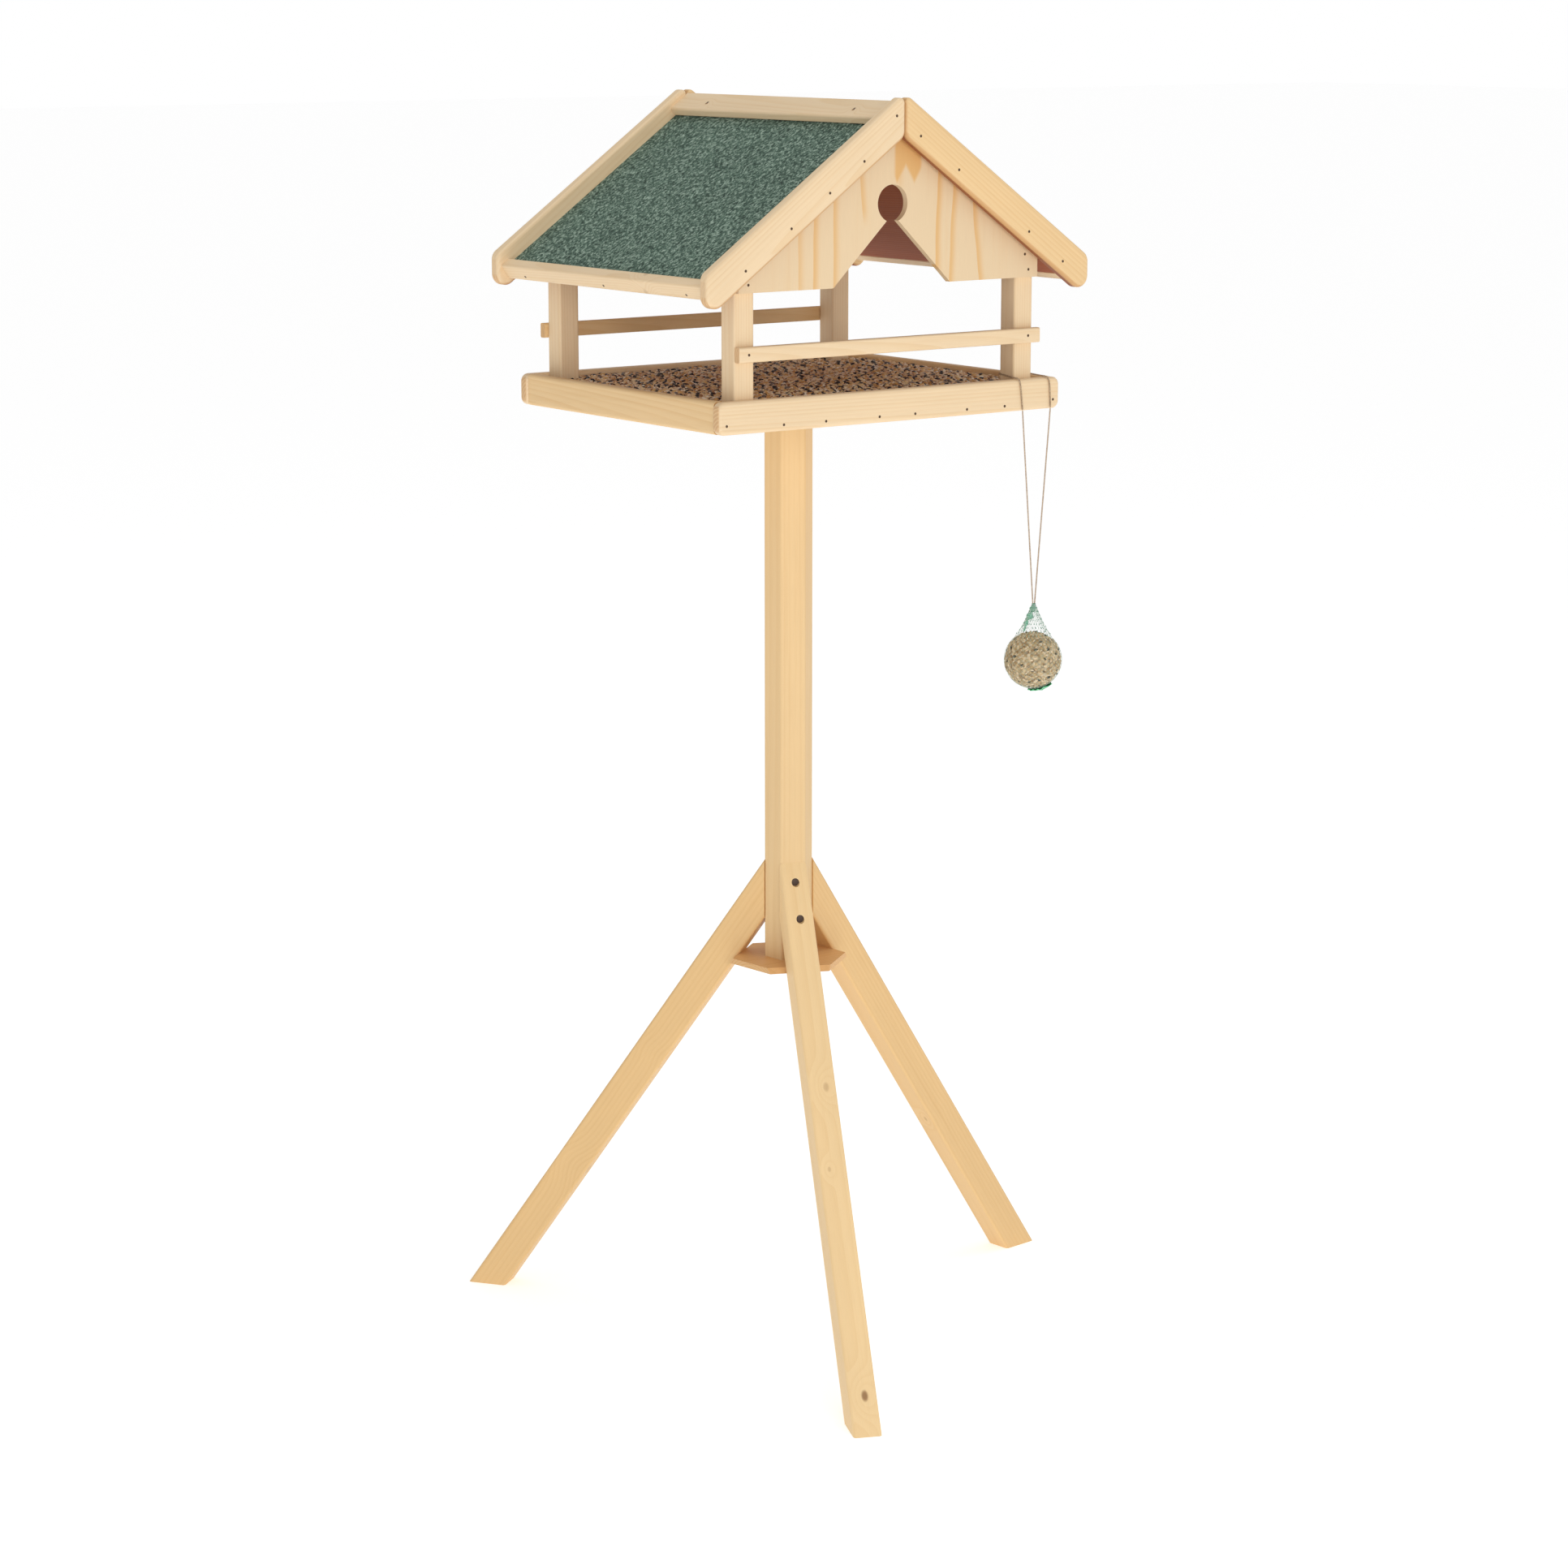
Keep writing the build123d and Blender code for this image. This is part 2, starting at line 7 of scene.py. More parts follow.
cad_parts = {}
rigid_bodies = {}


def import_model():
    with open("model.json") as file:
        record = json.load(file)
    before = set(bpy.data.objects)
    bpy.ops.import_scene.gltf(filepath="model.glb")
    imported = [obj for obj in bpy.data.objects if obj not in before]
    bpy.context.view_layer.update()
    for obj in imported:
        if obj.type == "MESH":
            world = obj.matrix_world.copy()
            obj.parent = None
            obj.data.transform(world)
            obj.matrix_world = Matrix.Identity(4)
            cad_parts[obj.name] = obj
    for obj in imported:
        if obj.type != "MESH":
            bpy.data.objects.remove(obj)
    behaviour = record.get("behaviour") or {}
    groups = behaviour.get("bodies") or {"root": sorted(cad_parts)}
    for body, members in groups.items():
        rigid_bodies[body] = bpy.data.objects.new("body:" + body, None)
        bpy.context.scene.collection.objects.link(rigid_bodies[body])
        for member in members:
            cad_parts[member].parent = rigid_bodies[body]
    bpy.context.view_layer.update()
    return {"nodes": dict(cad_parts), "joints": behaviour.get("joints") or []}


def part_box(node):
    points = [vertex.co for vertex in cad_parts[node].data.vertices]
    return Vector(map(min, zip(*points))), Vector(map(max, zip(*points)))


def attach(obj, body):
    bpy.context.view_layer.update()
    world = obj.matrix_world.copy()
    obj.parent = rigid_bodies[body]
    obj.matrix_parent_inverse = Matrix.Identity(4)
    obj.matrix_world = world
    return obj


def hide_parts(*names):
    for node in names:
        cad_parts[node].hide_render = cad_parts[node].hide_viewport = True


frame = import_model()
CAD = frame["nodes"]
scene = bpy.context.scene
MM = 0.001

# ---- places that the frame gives

RIM_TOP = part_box("rim_front")[1].z
BED_LOW, BED_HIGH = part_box("seed_bed")
POST_LOW, POST_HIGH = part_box("post_front_right")
BALL_LOW, BALL_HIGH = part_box("feed_ball")
NET_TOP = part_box("ball_net")[1].z
BALL = (BALL_LOW + BALL_HIGH) / 2
BALL_RADIUS = (BALL_HIGH.z - BALL_LOW.z) / 2
PIVOT = Vector(frame["joints"][0]["pos_m"])
ROOF_PITCH = math.radians(35.0)
LEG_TURNS = {"front": -24.0, "right": 96.0, "left": -144.0}
LEG_REACH = 0.378  # from the pole's axis to a leg's outer edge on the ground
POLE_FLAT = 0.02295  # from the pole's axis to its flats

FEEDER = "feeder"
HANGING = "hanging_feed"
SIDES = {"left": -1, "right": 1}


def middle(node):
    low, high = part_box(node)
    return (low + high) / 2


# ---- camera

CAMERA_PLACE = (-2.351, -3.183, 1.445)
CAMERA_AZIMUTH = math.radians(36.38)
CAMERA_PITCH = math.radians(12.02)
CAMERA_LENS = 85.8


def add_camera():
    data = bpy.data.cameras.new("camera")
    data.lens = CAMERA_LENS
    data.sensor_width = 36.0
    camera = bpy.data.objects.new("camera", data)
    camera.location = CAMERA_PLACE
    camera.rotation_euler = (math.pi / 2 - CAMERA_PITCH, 0.0, -CAMERA_AZIMUTH)
    scene.collection.objects.link(camera)
    scene.camera = camera


# ---- shader nodes


class Term:
    """One output socket of a finish, usable in sums. Each operation adds a Math node."""

    def __init__(self, finish, socket):
        self.finish = finish
        self.socket = socket

    def math(self, operation, first, second=None):
        fed = {0: first}
        if second is not None:
            fed[1] = second
        return self.finish.node("ShaderNodeMath", {"operation": operation}, fed)

    def __add__(self, other):
        return self.math("ADD", self, other)

    def __radd__(self, other):
        return self.math("ADD", other, self)

    def __sub__(self, other):
        return self.math("SUBTRACT", self, other)

    def __rsub__(self, other):
        return self.math("SUBTRACT", other, self)

    def __mul__(self, other):
        return self.math("MULTIPLY", self, other)

    def __rmul__(self, other):
        return self.math("MULTIPLY", other, self)

    def __truediv__(self, other):
        return self.math("DIVIDE", self, other)

    def __pow__(self, other):
        return self.math("POWER", self, other)

    def fraction(self):
        return self.math("FRACT", self)

    def floor(self):
        return self.math("FLOOR", self)

    def root(self):
        return self.math("SQRT", self)

    def size(self):
        return self.math("ABSOLUTE", self)

    def most(self, other):
        return self.math("MAXIMUM", self, other)

    def rise(self, low, high):
        """0 below low, 1 above high and smooth between them."""
        settings = {"interpolation_type": "SMOOTHSTEP"}
        fed = {"Value": self, "From Min": low, "From Max": high}
        return self.finish.node("ShaderNodeMapRange", settings, fed)


class Finish:
    """A material that is built from nodes."""

    def __init__(self, name):
        self.material = bpy.data.materials.new(name)
        self.material.use_nodes = True
        self.tree = self.material.node_tree
        self.tree.nodes.clear()

    def node(self, kind, settings=None, fed=None, out=0):
        """Adds a node, applies its settings, feeds its sockets and gives one output as a Term."""
        made = self.tree.nodes.new(kind)
        for name, value in (settings or {}).items():
            if name == "stops":
                self.set_stops(made.color_ramp, value)
            else:
                setattr(made, name, value)
        for name, value in (fed or {}).items():
            if isinstance(value, Term):
                self.tree.links.new(value.socket, made.inputs[name])
            else:
                made.inputs[name].default_value = value
        return Term(self, made.outputs[out]) if len(made.outputs) else None

    @staticmethod
    def set_stops(ramp, stops):
        while len(ramp.elements) < len(stops):
            ramp.elements.new(1.0)
        for element, (place, colour) in zip(ramp.elements, stops):
            element.position = place
            element.color = (*colour, 1.0)

    def place(self):
        return self.node("ShaderNodeTexCoord", out="Object")

    def stretched(self, vector, factors):
        return self.node("ShaderNodeVectorMath", {"operation": "MULTIPLY"}, {0: vector, 1: factors})

    def noise(self, vector, scale=1.0, detail=2.0, rough=0.5):
        fed = {"Vector": vector, "Scale": scale, "Detail": detail, "Roughness": rough}
        return self.node("ShaderNodeTexNoise", {}, fed, "Fac")

    def mixed(self, factor, first, second):
        settings = {"data_type": "RGBA", "blend_type": "MIX", "clamp_factor": True}
        return self.node("ShaderNodeMix", settings, {0: factor, 6: colour(first), 7: colour(second)}, 2)

    def scaled(self, tint, factor):
        return self.node("ShaderNodeVectorMath", {"operation": "SCALE"}, {0: tint, "Scale": factor})

    def surface(self, tint, roughness, height=None, depth=0.0, **fixed):
        """Ends the finish in a Principled shader, with a bump of this depth in metres."""
        fed = {"Base Color": tint, "Roughness": roughness}
        fed.update({name.replace("_", " "): value for name, value in fixed.items()})
        if height is not None:
            bump = {"Height": height, "Distance": depth, "Strength": 1.0}
            fed["Normal"] = self.node("ShaderNodeBump", {}, bump)
        shader = self.node("ShaderNodeBsdfPrincipled", {}, fed)
        self.node("ShaderNodeOutputMaterial", {}, {"Surface": shader})
        return self.material


def colour(value):
    return value if isinstance(value, Term) else (*value, 1.0)


# ---- wood

# Early wood, late wood and end grain, linear colours
PALE = ((0.83, 0.635, 0.405), (0.74, 0.50, 0.255), (0.60, 0.33, 0.14))
WARM = ((0.82, 0.575, 0.30), (0.71, 0.44, 0.19), (0.56, 0.31, 0.13))
POLE = ((0.81, 0.57, 0.295), (0.70, 0.44, 0.19), (0.56, 0.33, 0.14))
LEG = ((0.79, 0.53, 0.25), (0.68, 0.41, 0.16), (0.54, 0.31, 0.13))
# Paler copy of the leg tones for the front leg: painted light on its face
FRONT_LEG_PAINTED_LIGHT = ((0.905, 0.656, 0.35), (0.80, 0.525, 0.24), (0.56, 0.33, 0.14))
# Stained roof panels; the late tone also serves as the dark painted shadow under the barge boards
STAIN_AND_GAP_SHADOW = ((0.35, 0.088, 0.022), (0.25, 0.058, 0.014), (0.20, 0.05, 0.015))
PLATE = ((0.78, 0.46, 0.20), (0.66, 0.36, 0.13), (0.70, 0.44, 0.21))
PLY = ((0.66, 0.475, 0.26), (0.54, 0.34, 0.15), (0.42, 0.26, 0.12))
GABLE_PALE = (0.80, 0.61, 0.38)
GABLE_ORANGE = (0.76, 0.44, 0.155)
KNOT_BROWN = (0.27, 0.125, 0.045)
# Painted shade for the downward faces of the barge boards
UNDERSIDE_PAINTED_SHADE = (0.55, 0.29, 0.11)

# How closely a board's marks are packed along the grain and across it
WANDER = (2.6, 13.0, 13.0)
DRIFT = (1.1, 5.0, 5.0)
FIBRE = (45.0, 1900.0, 1900.0)
STREAK = (5.0, 170.0, 170.0)
CLOUD = (6.0, 22.0, 22.0)
GABLE_SWAY = (14.0, 6.0, 6.0)
GABLE_FIBRE = (45.0, 1700.0, 1700.0)
GABLE_STREAK = (6.0, 120.0, 120.0)
FIBRE_DEPTH = 0.12 * MM
GABLE_FIBRE_DEPTH = 0.1 * MM

LENGTHWISE = Euler((0, 0, 0))
CROSSWISE = Euler((0, 0, math.pi / 2))
UPRIGHT = Euler((0, -math.pi / 2, 0))


def board_place(finish, centre, turn):
    """Places in a board's own axes: X along the grain, Y across it and Z into it."""
    fed = {"Vector": finish.place(), "Location": centre, "Rotation": turn}
    return finish.node("ShaderNodeMapping", {"vector_type": "TEXTURE"}, fed)


def axes(finish, vector):
    made = finish.tree.nodes.new("ShaderNodeSeparateXYZ")
    finish.tree.links.new(vector.socket, made.inputs[0])
    return [Term(finish, socket) for socket in made.outputs]


def timber(name, centre, turn, tones, ring=3.4 * MM, pith=(14 * MM, 22 * MM), tilt=0.02, knots=(),
           contrast=0.55, edge=0, shine=0.35):
    """Planed softwood whose year rings run round a pith beside the board, with fine fibres.

    Each knot is its place along and across the board, its size and its strength. An edge of 1 or -1 paints
    shade on the board's lower edge and says on which side of it the roof begins: an orange-brown painted
    shade where it faces down, and a dark painted shadow on the roof side.
    """
    early, late, end = tones
    finish = Finish(name)
    board = board_place(finish, centre, turn)
    along, across, deep = axes(finish, board)
    wander = finish.noise(finish.stretched(board, WANDER), detail=1.0) - 0.5
    drift = finish.noise(finish.stretched(board, DRIFT), detail=1.0) - 0.5
    side = across + pith[0] + along * tilt + wander * (9.0 * MM)
    back = deep + pith[1] + drift * (14.0 * MM)
    radius = (side * side + back * back).root()
    dark = None
    for place, offset, size, strength in knots:
        reach = ((along - place) / (1.7 * size)) ** 2 + ((across - offset) / size) ** 2
        near = finish.node("ShaderNodeMath", {"operation": "EXPONENT"}, {0: reach * -0.35})
        radius = radius + near * (2.2 * size)
        core = (1.0 - reach.rise(0.03, 0.30)) * strength
        dark = core if dark is None else dark.most(core)
    age = radius / ring
    year = age.floor()
    share = age.fraction()
    weight = finish.node("ShaderNodeTexWhiteNoise", {"noise_dimensions": "1D"}, {"W": year})
    line = share.rise(0.30, 0.94) * (1.0 - share.rise(0.955, 1.0))
    fibre = finish.noise(finish.stretched(board, FIBRE), detail=2.0)
    streak = finish.noise(finish.stretched(board, STREAK), detail=3.0, rough=0.6)
    cloud = finish.noise(finish.stretched(board, CLOUD), detail=2.0)
    tint = finish.mixed(line * (0.25 + 0.55 * weight) * contrast, early, late)
    tint = finish.mixed(streak.rise(0.50, 0.80) * 0.30, tint, late)
    if dark is not None:
        tint = finish.mixed(dark, tint, KNOT_BROWN)
    normal = finish.node("ShaderNodeTexCoord", out="Normal")
    if edge:
        # Painted shade: faces of the lower edge that point down are tinted orange-brown as if shaded
        under = turn.to_matrix() @ Vector((0, 0, -1))
        down = finish.node("ShaderNodeVectorMath", {"operation": "DOT_PRODUCT"}, {0: normal, 1: under}, 1)
        tint = finish.mixed(down.rise(0.05, 0.60) * 0.75, tint, UNDERSIDE_PAINTED_SHADE)
        # Dark painted shadow on the roof side of the lower edge, where the gap under the roof lies, in the
        # stained panels' late tone
        inner = (across * edge).rise(-4 * MM, -1 * MM)
        tint = finish.mixed(down.rise(0.55, 0.85) * inner * 0.9, tint, STAIN_AND_GAP_SHADOW[1])
    grain = turn.to_matrix() @ Vector((1, 0, 0))
    facing = finish.node("ShaderNodeVectorMath", {"operation": "DOT_PRODUCT"}, {0: normal, 1: grain}, 1)
    tint = finish.mixed(facing.size().rise(0.70, 0.96) * 0.8, tint, finish.mixed(line, end, late))
    tint = finish.scaled(tint, 0.89 + fibre * 0.10 + cloud * 0.12)
    height = fibre * 0.6 - line * 0.4 + streak * 0.3
    roughness = 0.44 + 0.14 * fibre + 0.06 * line
    return finish.surface(tint, roughness, height, FIBRE_DEPTH, Specular_IOR_Level=shine)


def dress(node, material):
    CAD[node].material_slots[0].material = material


def dress_board(node, turn, tones, *marks, **more):
    dress(node, timber(node, middle(node), turn, tones, *marks, **more))


def slope_turn(side):
    """Turn of a board whose grain runs down the roof on this side."""
    return Euler((0, side * ROOF_PITCH, 0))


def leg_outward(name):
    angle = math.radians(LEG_TURNS[name])
    return Vector((math.sin(angle), -math.cos(angle), 0))


def leg_turn(name):
    """Turn of a leg's board: X up its slope and Z out of its outer face."""
    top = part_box(f"leg_{name}")[1].z
    outward = leg_outward(name)
    splay = math.atan2(LEG_REACH - POLE_FLAT, top)
    grain = (Vector((0, 0, 1)) * math.cos(splay) - outward * math.sin(splay)).normalized()
    across = Vector((0, 0, 1)).cross(outward).normalized()
    face = grain.cross(across)
    return Matrix((grain, across, face)).transposed().to_euler()


def leg_centre(name):
    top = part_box(f"leg_{name}")[1].z
    return leg_outward(name) * (LEG_REACH + POLE_FLAT) / 2 + Vector((0, 0, top / 2))


def dress_tray():
    for end, pith in (("front", 15), ("back", 24)):
        node = f"rim_{end}"
        dress_board(node, LENGTHWISE, PALE, pith=(pith * MM, 19 * MM))
        node = f"rail_{end}"
        tones = PALE if end == "front" else WARM
        dress_board(node, LENGTHWISE, tones, 2.6 * MM, (30 * MM, 9 * MM), 0.03)
    for hand, pith in (("left", 30), ("right", 12)):
        node = f"rim_{hand}"
        dress_board(node, CROSSWISE, WARM, pith=(pith * MM, 26 * MM), tilt=-0.03)
    node = "tray_floor"
    dress_board(node, LENGTHWISE, PLY, 9 * MM, (30 * MM, 40 * MM), 0.06)


def dress_roof():
    for hand, side in SIDES.items():
        node = f"ridge_batten_{hand}"
        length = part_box(node)[1].y
        dents = tuple((share * length, side * -2.7 * MM, 3.0 * MM, 1.0) for share in (-0.7, 0.7))
        dress_board(node, CROSSWISE, PALE, 3.0 * MM, (26 * MM, 12 * MM), 0.03, dents)
        node = f"eaves_batten_{hand}"
        knots = ((-0.075, 0.002, 5 * MM, 0.25),) if hand == "left" else ()
        dress_board(node, CROSSWISE, PALE, 2.8 * MM, (9 * MM, 15 * MM), 0.04, knots)
        node = f"roof_panel_{hand}"
        pith = (40 * MM, 30 * MM)
        dress_board(node, CROSSWISE, STAIN_AND_GAP_SHADOW, 4.2 * MM, pith, 0.05 * side, shine=0.12)


def dress_ends():
    """The front and the back of the house: gable, barge boards and posts."""
    for index, end in enumerate(("front", "back")):
        for hand, side in SIDES.items():
            node = f"barge_{end}_{hand}"
            tones = PALE if hand == "left" else WARM
            pith = ((18 + 9 * index) * MM, (20 + 6 * side) * MM)
            knots = ((0.09 * side, 0.004, 3 * MM, 0.3),)
            # Side of each barge's lower edge that gets the dark painted shadow
            inner = 1 if end == "front" else -1
            turn = slope_turn(side)
            dress_board(node, turn, tones, 3.6 * MM, pith, 0.03 * side, knots, 0.5, inner)
            node = f"post_{end}_{hand}"
            pith = ((13 + 5 * index) * MM, (17 + 4 * side) * MM)
            dress_board(node, UPRIGHT, PALE, 3.0 * MM, pith, 0.02 * side)
        node = f"gable_{end}"
        dress(node, gable_wood(node, middle(node)))


# Knots of each leg: place along and across it, size and strength
LEG_KNOTS = {
    "front": ((-0.272, 0.002, 8 * MM, 0.85), (0.06, 0.004, 7 * MM, 0.30), (-0.03, -0.004, 4 * MM, 0.25)),
    "left": ((-0.115, 0.004, 9 * MM, 0.40), (0.055, 0.006, 5 * MM, 0.35)),
    "right": ((-0.07, -0.003, 5 * MM, 0.30),),
}


def dress_stand():
    node = "pole"
    knots = ((-0.07, 0.012, 4 * MM, 0.35),)
    dress_board(node, UPRIGHT, POLE, 5.0 * MM, (20 * MM, 16 * MM), 0.012, knots, 0.3)
    node = "spacer_plate"
    dress_board(node, LENGTHWISE, PLATE, 3 * MM, (15 * MM, 30 * MM), 0.1)
    for name, knots in LEG_KNOTS.items():
        node = f"leg_{name}"
        # The front leg wears the paler copy of the leg tones as painted light
        tones = FRONT_LEG_PAINTED_LIGHT if name == "front" else LEG
        dress(node, timber(node, leg_centre(name), leg_turn(name), tones, 4.6 * MM, (12 * MM, 30 * MM), 0.012,
                           knots, 0.35))


# Orange growth lines of the gable: across, tilt, lower end, upper end and strength; lengths in mm
GROWTH_LINES = (
    (-118, 0.02, -90, 30, 0.55),
    (-99, 0.03, -90, 40, 0.80),
    (-75, 0.01, -90, 60, 0.75),
    (-39, -0.10, -10, 60, 0.70),
    (8, -0.04, 20, 110, 0.45),
    (58, 0.03, -90, 75, 0.85),
    (78, 0.05, -90, 55, 0.80),
    (105, -0.12, -90, 35, 0.80),
)


def growth_lines(along, across, sway):
    """Lines that are sharp on one side and fade out on the other."""
    total = None
    for place, tilt, low, high, strength in GROWTH_LINES:
        gap = across - place * MM - along * tilt + sway * (7 * MM)
        sharp = gap.rise(-0.6 * MM, 0.4 * MM)
        fade = 1.0 - gap.rise(0.5 * MM, 11 * MM)
        start = along.rise((low - 12) * MM, (low + 12) * MM)
        stop = 1.0 - along.rise((high - 15) * MM, (high + 15) * MM)
        line = sharp * (fade ** 1.3) * (start * stop) * strength
        total = line if total is None else total.most(line)
    return total


TIP_APART = 22 * MM  # from one tip of the flame to the other
TIP_SLOPE = 35 * MM
TIP_HEIGHT = 23 * MM  # over the gable's middle


def flame(along, across):
    """Orange patch beside the top of the hole whose lower end runs out in two tips."""
    saw = ((across + 5.3 * MM) / TIP_APART).fraction()
    tip = (saw - 0.5).size() * TIP_SLOPE
    inside = across.rise(0.0, 5 * MM) * (1.0 - across.rise(34 * MM, 39 * MM))
    return inside * (along - TIP_HEIGHT - tip).rise(-3 * MM, 6 * MM) * (1.0 - along.rise(66 * MM, 74 * MM))


def gable_wood(name, centre):
    """Flat-sawn board with upright grain: broad pale bands that each end in a soft orange line."""
    finish = Finish(name)
    board = board_place(finish, centre, UPRIGHT)
    along, _, leftward = axes(finish, board)
    across = 0.0 - leftward  # to the right, as the front is seen
    sway = finish.noise(finish.stretched(board, GABLE_SWAY), detail=1.5) - 0.5
    line = growth_lines(along, across, sway).most(flame(along, across) * 0.95)
    fibre = finish.noise(finish.stretched(board, GABLE_FIBRE), detail=2.0)
    streak = finish.noise(finish.stretched(board, GABLE_STREAK), detail=3.0, rough=0.6)
    tint = finish.mixed(line, GABLE_PALE, GABLE_ORANGE)
    tint = finish.mixed(streak.rise(0.50, 0.80) * 0.14, tint, GABLE_ORANGE)
    tint = finish.scaled(tint, 0.94 + fibre * 0.09)
    return finish.surface(tint, 0.46 + 0.12 * fibre, fibre * 0.6 + streak * 0.3, GABLE_FIBRE_DEPTH)


# ---- metal, felt, feed and net

# Tones of crushed mineral, from the darkest grains to the palest
MINERAL = (
    (0.12, (0.018, 0.040, 0.028)),
    (0.36, (0.052, 0.100, 0.072)),
    (0.60, (0.125, 0.200, 0.150)),
    (0.86, (0.330, 0.430, 0.350)),
)


def felt_finish():
    """Bitumen felt covered in crushed green mineral."""
    finish = Finish("mineral_felt")
    place = finish.place()
    fed = {"Vector": place, "Scale": 520.0, "Randomness": 1.0}
    grains = finish.node("ShaderNodeTexVoronoi", {"feature": "F1"}, fed, "Color")
    tone = axes(finish, grains)[0]
    bulge = finish.node("ShaderNodeTexVoronoi", {"feature": "F1"}, fed, "Distance")
    clumps = finish.noise(place, 270.0, 3.0, 0.65)
    cloud = finish.noise(place, 22.0, 3.0)
    shade = tone * 0.45 + clumps.rise(0.32, 0.68) * 0.55
    tint = finish.node("ShaderNodeValToRGB", {"stops": MINERAL}, {"Fac": shade})
    tint = finish.scaled(tint, 0.82 + 0.36 * cloud)
    return finish.surface(tint, 0.86 + 0.1 * clumps, 1.0 - bulge + clumps * 0.5, 0.5 * MM)


def metal_finish(name, dark, light, scale, metallic):
    """Dull metal with patches of wear."""
    finish = Finish(name)
    wear = finish.noise(finish.place(), scale, 3.0)
    tint = finish.mixed(wear, dark, light)
    return finish.surface(tint, 0.42 + 0.25 * wear, wear, 0.05 * MM, Metallic=metallic)


def dress_metal():
    browned = metal_finish("browned_nail", (0.055, 0.034, 0.022), (0.17, 0.10, 0.06), 900.0, 0.6)
    for part in ("rim", "rail", "gable", "barge", "ridge", "eaves"):
        dress(part + "_nails", browned)
    # Screw heads are darkened to stand for the shade in their countersunk holes: painted shade
    recess_shaded_screw = metal_finish("screw_painted_shade", (0.045, 0.026, 0.020), (0.13, 0.085, 0.06), 500.0, 0.35)
    for node in ("leg_screws", "plate_screw", "tray_screws"):
        dress(node, recess_shaded_screw)


def seed_finish(name, stops, roughness, speckle=0.25):
    """A kind of seed: each one has its own tone, and fine streaks."""
    finish = Finish(name)
    tone = finish.node("ShaderNodeAttribute", {"attribute_name": "tone"}, {}, "Fac")
    streak = finish.noise(finish.place(), 900.0, 3.0)
    tint = finish.node("ShaderNodeValToRGB", {"stops": stops}, {"Fac": tone})
    tint = finish.scaled(tint, 1.0 - speckle / 2 + speckle * streak)
    return finish.surface(tint, roughness, streak, 0.15 * MM)


def crumb_finish(name, stops, scale):
    """Ground feed in which crushed grains of several colours show."""
    finish = Finish(name)
    place = finish.place()
    warp = finish.noise(place, scale * 0.8, 2.0)
    fed = {"Vector": place, "Scale": scale, "Randomness": 1.0}
    cells = finish.node("ShaderNodeTexVoronoi", {"feature": "F1"}, fed, "Color")
    edge = finish.node("ShaderNodeTexVoronoi", {"feature": "F1"}, fed, "Distance")
    tone = axes(finish, cells)[0]
    tint = finish.node("ShaderNodeValToRGB", {"stops": stops}, {"Fac": tone})
    # Each crumb is darker towards its border: painted shade in the gaps between crumbs
    tint = finish.scaled(tint, 1.12 - edge * 0.55 + (warp - 0.5) * 0.3)
    return finish.surface(tint, 0.62 + 0.2 * warp, 1.0 - edge + warp * 0.4, 0.6 * MM)


def thread_finish(name, dark, light, roughness, **fixed):
    finish = Finish(name)
    fuzz = finish.noise(finish.place(), 1400.0, 3.0)
    tint = finish.mixed(fuzz.rise(0.30, 0.70), dark, light)
    return finish.surface(tint, roughness, fuzz, 0.1 * MM, **fixed)


# ---- meshes


def new_piece(name, verts, faces, material, body, smooth=True):
    mesh = bpy.data.meshes.new(name)
    mesh.from_pydata([tuple(v) for v in verts], [], faces)
    mesh.materials.append(material)
    return finished(name, mesh, body, smooth)


def finished(name, mesh, body, smooth=True):
    """Puts a finished mesh in the scene as a piece that rides on a body."""
    mesh.polygons.foreach_set("use_smooth", [smooth] * len(mesh.polygons))
    mesh.update()
    piece = bpy.data.objects.new(name, mesh)
    scene.collection.objects.link(piece)
    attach(piece, body)
    return piece


def nurbs_line(points, steps=24):
    """Points along the smooth curve that these control points give."""
    curve = bpy.data.curves.new("route", "CURVE")
    curve.dimensions = "3D"
    spline = curve.splines.new("NURBS")
    spline.points.add(len(points) - 1)
    for control, point in zip(spline.points, points):
        control.co = (*point, 1.0)
    spline.order_u = 3
    spline.use_endpoint_u = True
    spline.resolution_u = steps
    holder = bpy.data.objects.new("route", curve)
    mesh = bpy.data.meshes.new_from_object(holder)
    line = [v.co.copy() for v in mesh.vertices]
    bpy.data.meshes.remove(mesh)
    bpy.data.curves.remove(curve)
    return line


def spaced(line, step):
    """The same line with its points this far apart."""
    lengths = [0.0]
    for before, after in zip(line, line[1:]):
        lengths.append(lengths[-1] + (after - before).length)
    count = max(2, round(lengths[-1] / step))
    points = []
    at = 0
    for i in range(count + 1):
        want = lengths[-1] * i / count
        while at < len(lengths) - 2 and lengths[at + 1] < want:
            at += 1
        share = (want - lengths[at]) / max(lengths[at + 1] - lengths[at], 1e-9)
        points.append(line[at].lerp(line[at + 1], share))
    return points


def frames_along(line):
    """A pair of crosswise directions at each point of a line, carried along without twist."""
    sideways = None
    for i in range(len(line)):
        run = (line[min(i + 1, len(line) - 1)] - line[max(i - 1, 0)]).normalized()
        if sideways is None:
            sideways = run.orthogonal().normalized()
        sideways = (sideways - run * sideways.dot(run)).normalized()
        yield sideways, run.cross(sideways)


def run_length(line):
    return sum((after - before).length for before, after in zip(line, line[1:]))


def tube_faces(rings, around):
    """Faces of a tube that is closed at both ends and whose points come ring by ring."""
    faces = []
    for i in range(rings - 1):
        base = i * around
        for k in range(around):
            after = (k + 1) % around
            faces.append((base + k, base + after, base + around + after, base + around + k))
    faces.append(tuple(reversed(range(around))))
    last = (rings - 1) * around
    faces.append(tuple(range(last, last + around)))
    return faces


VALLEY = 0.80  # how far out a rope reaches between its plies, as a share of its radius
PLY_RISE = 0.20  # how much further out a ply reaches
ROPE_TIP = 0.25  # least size of a rope's rounded end, as a share of its radius


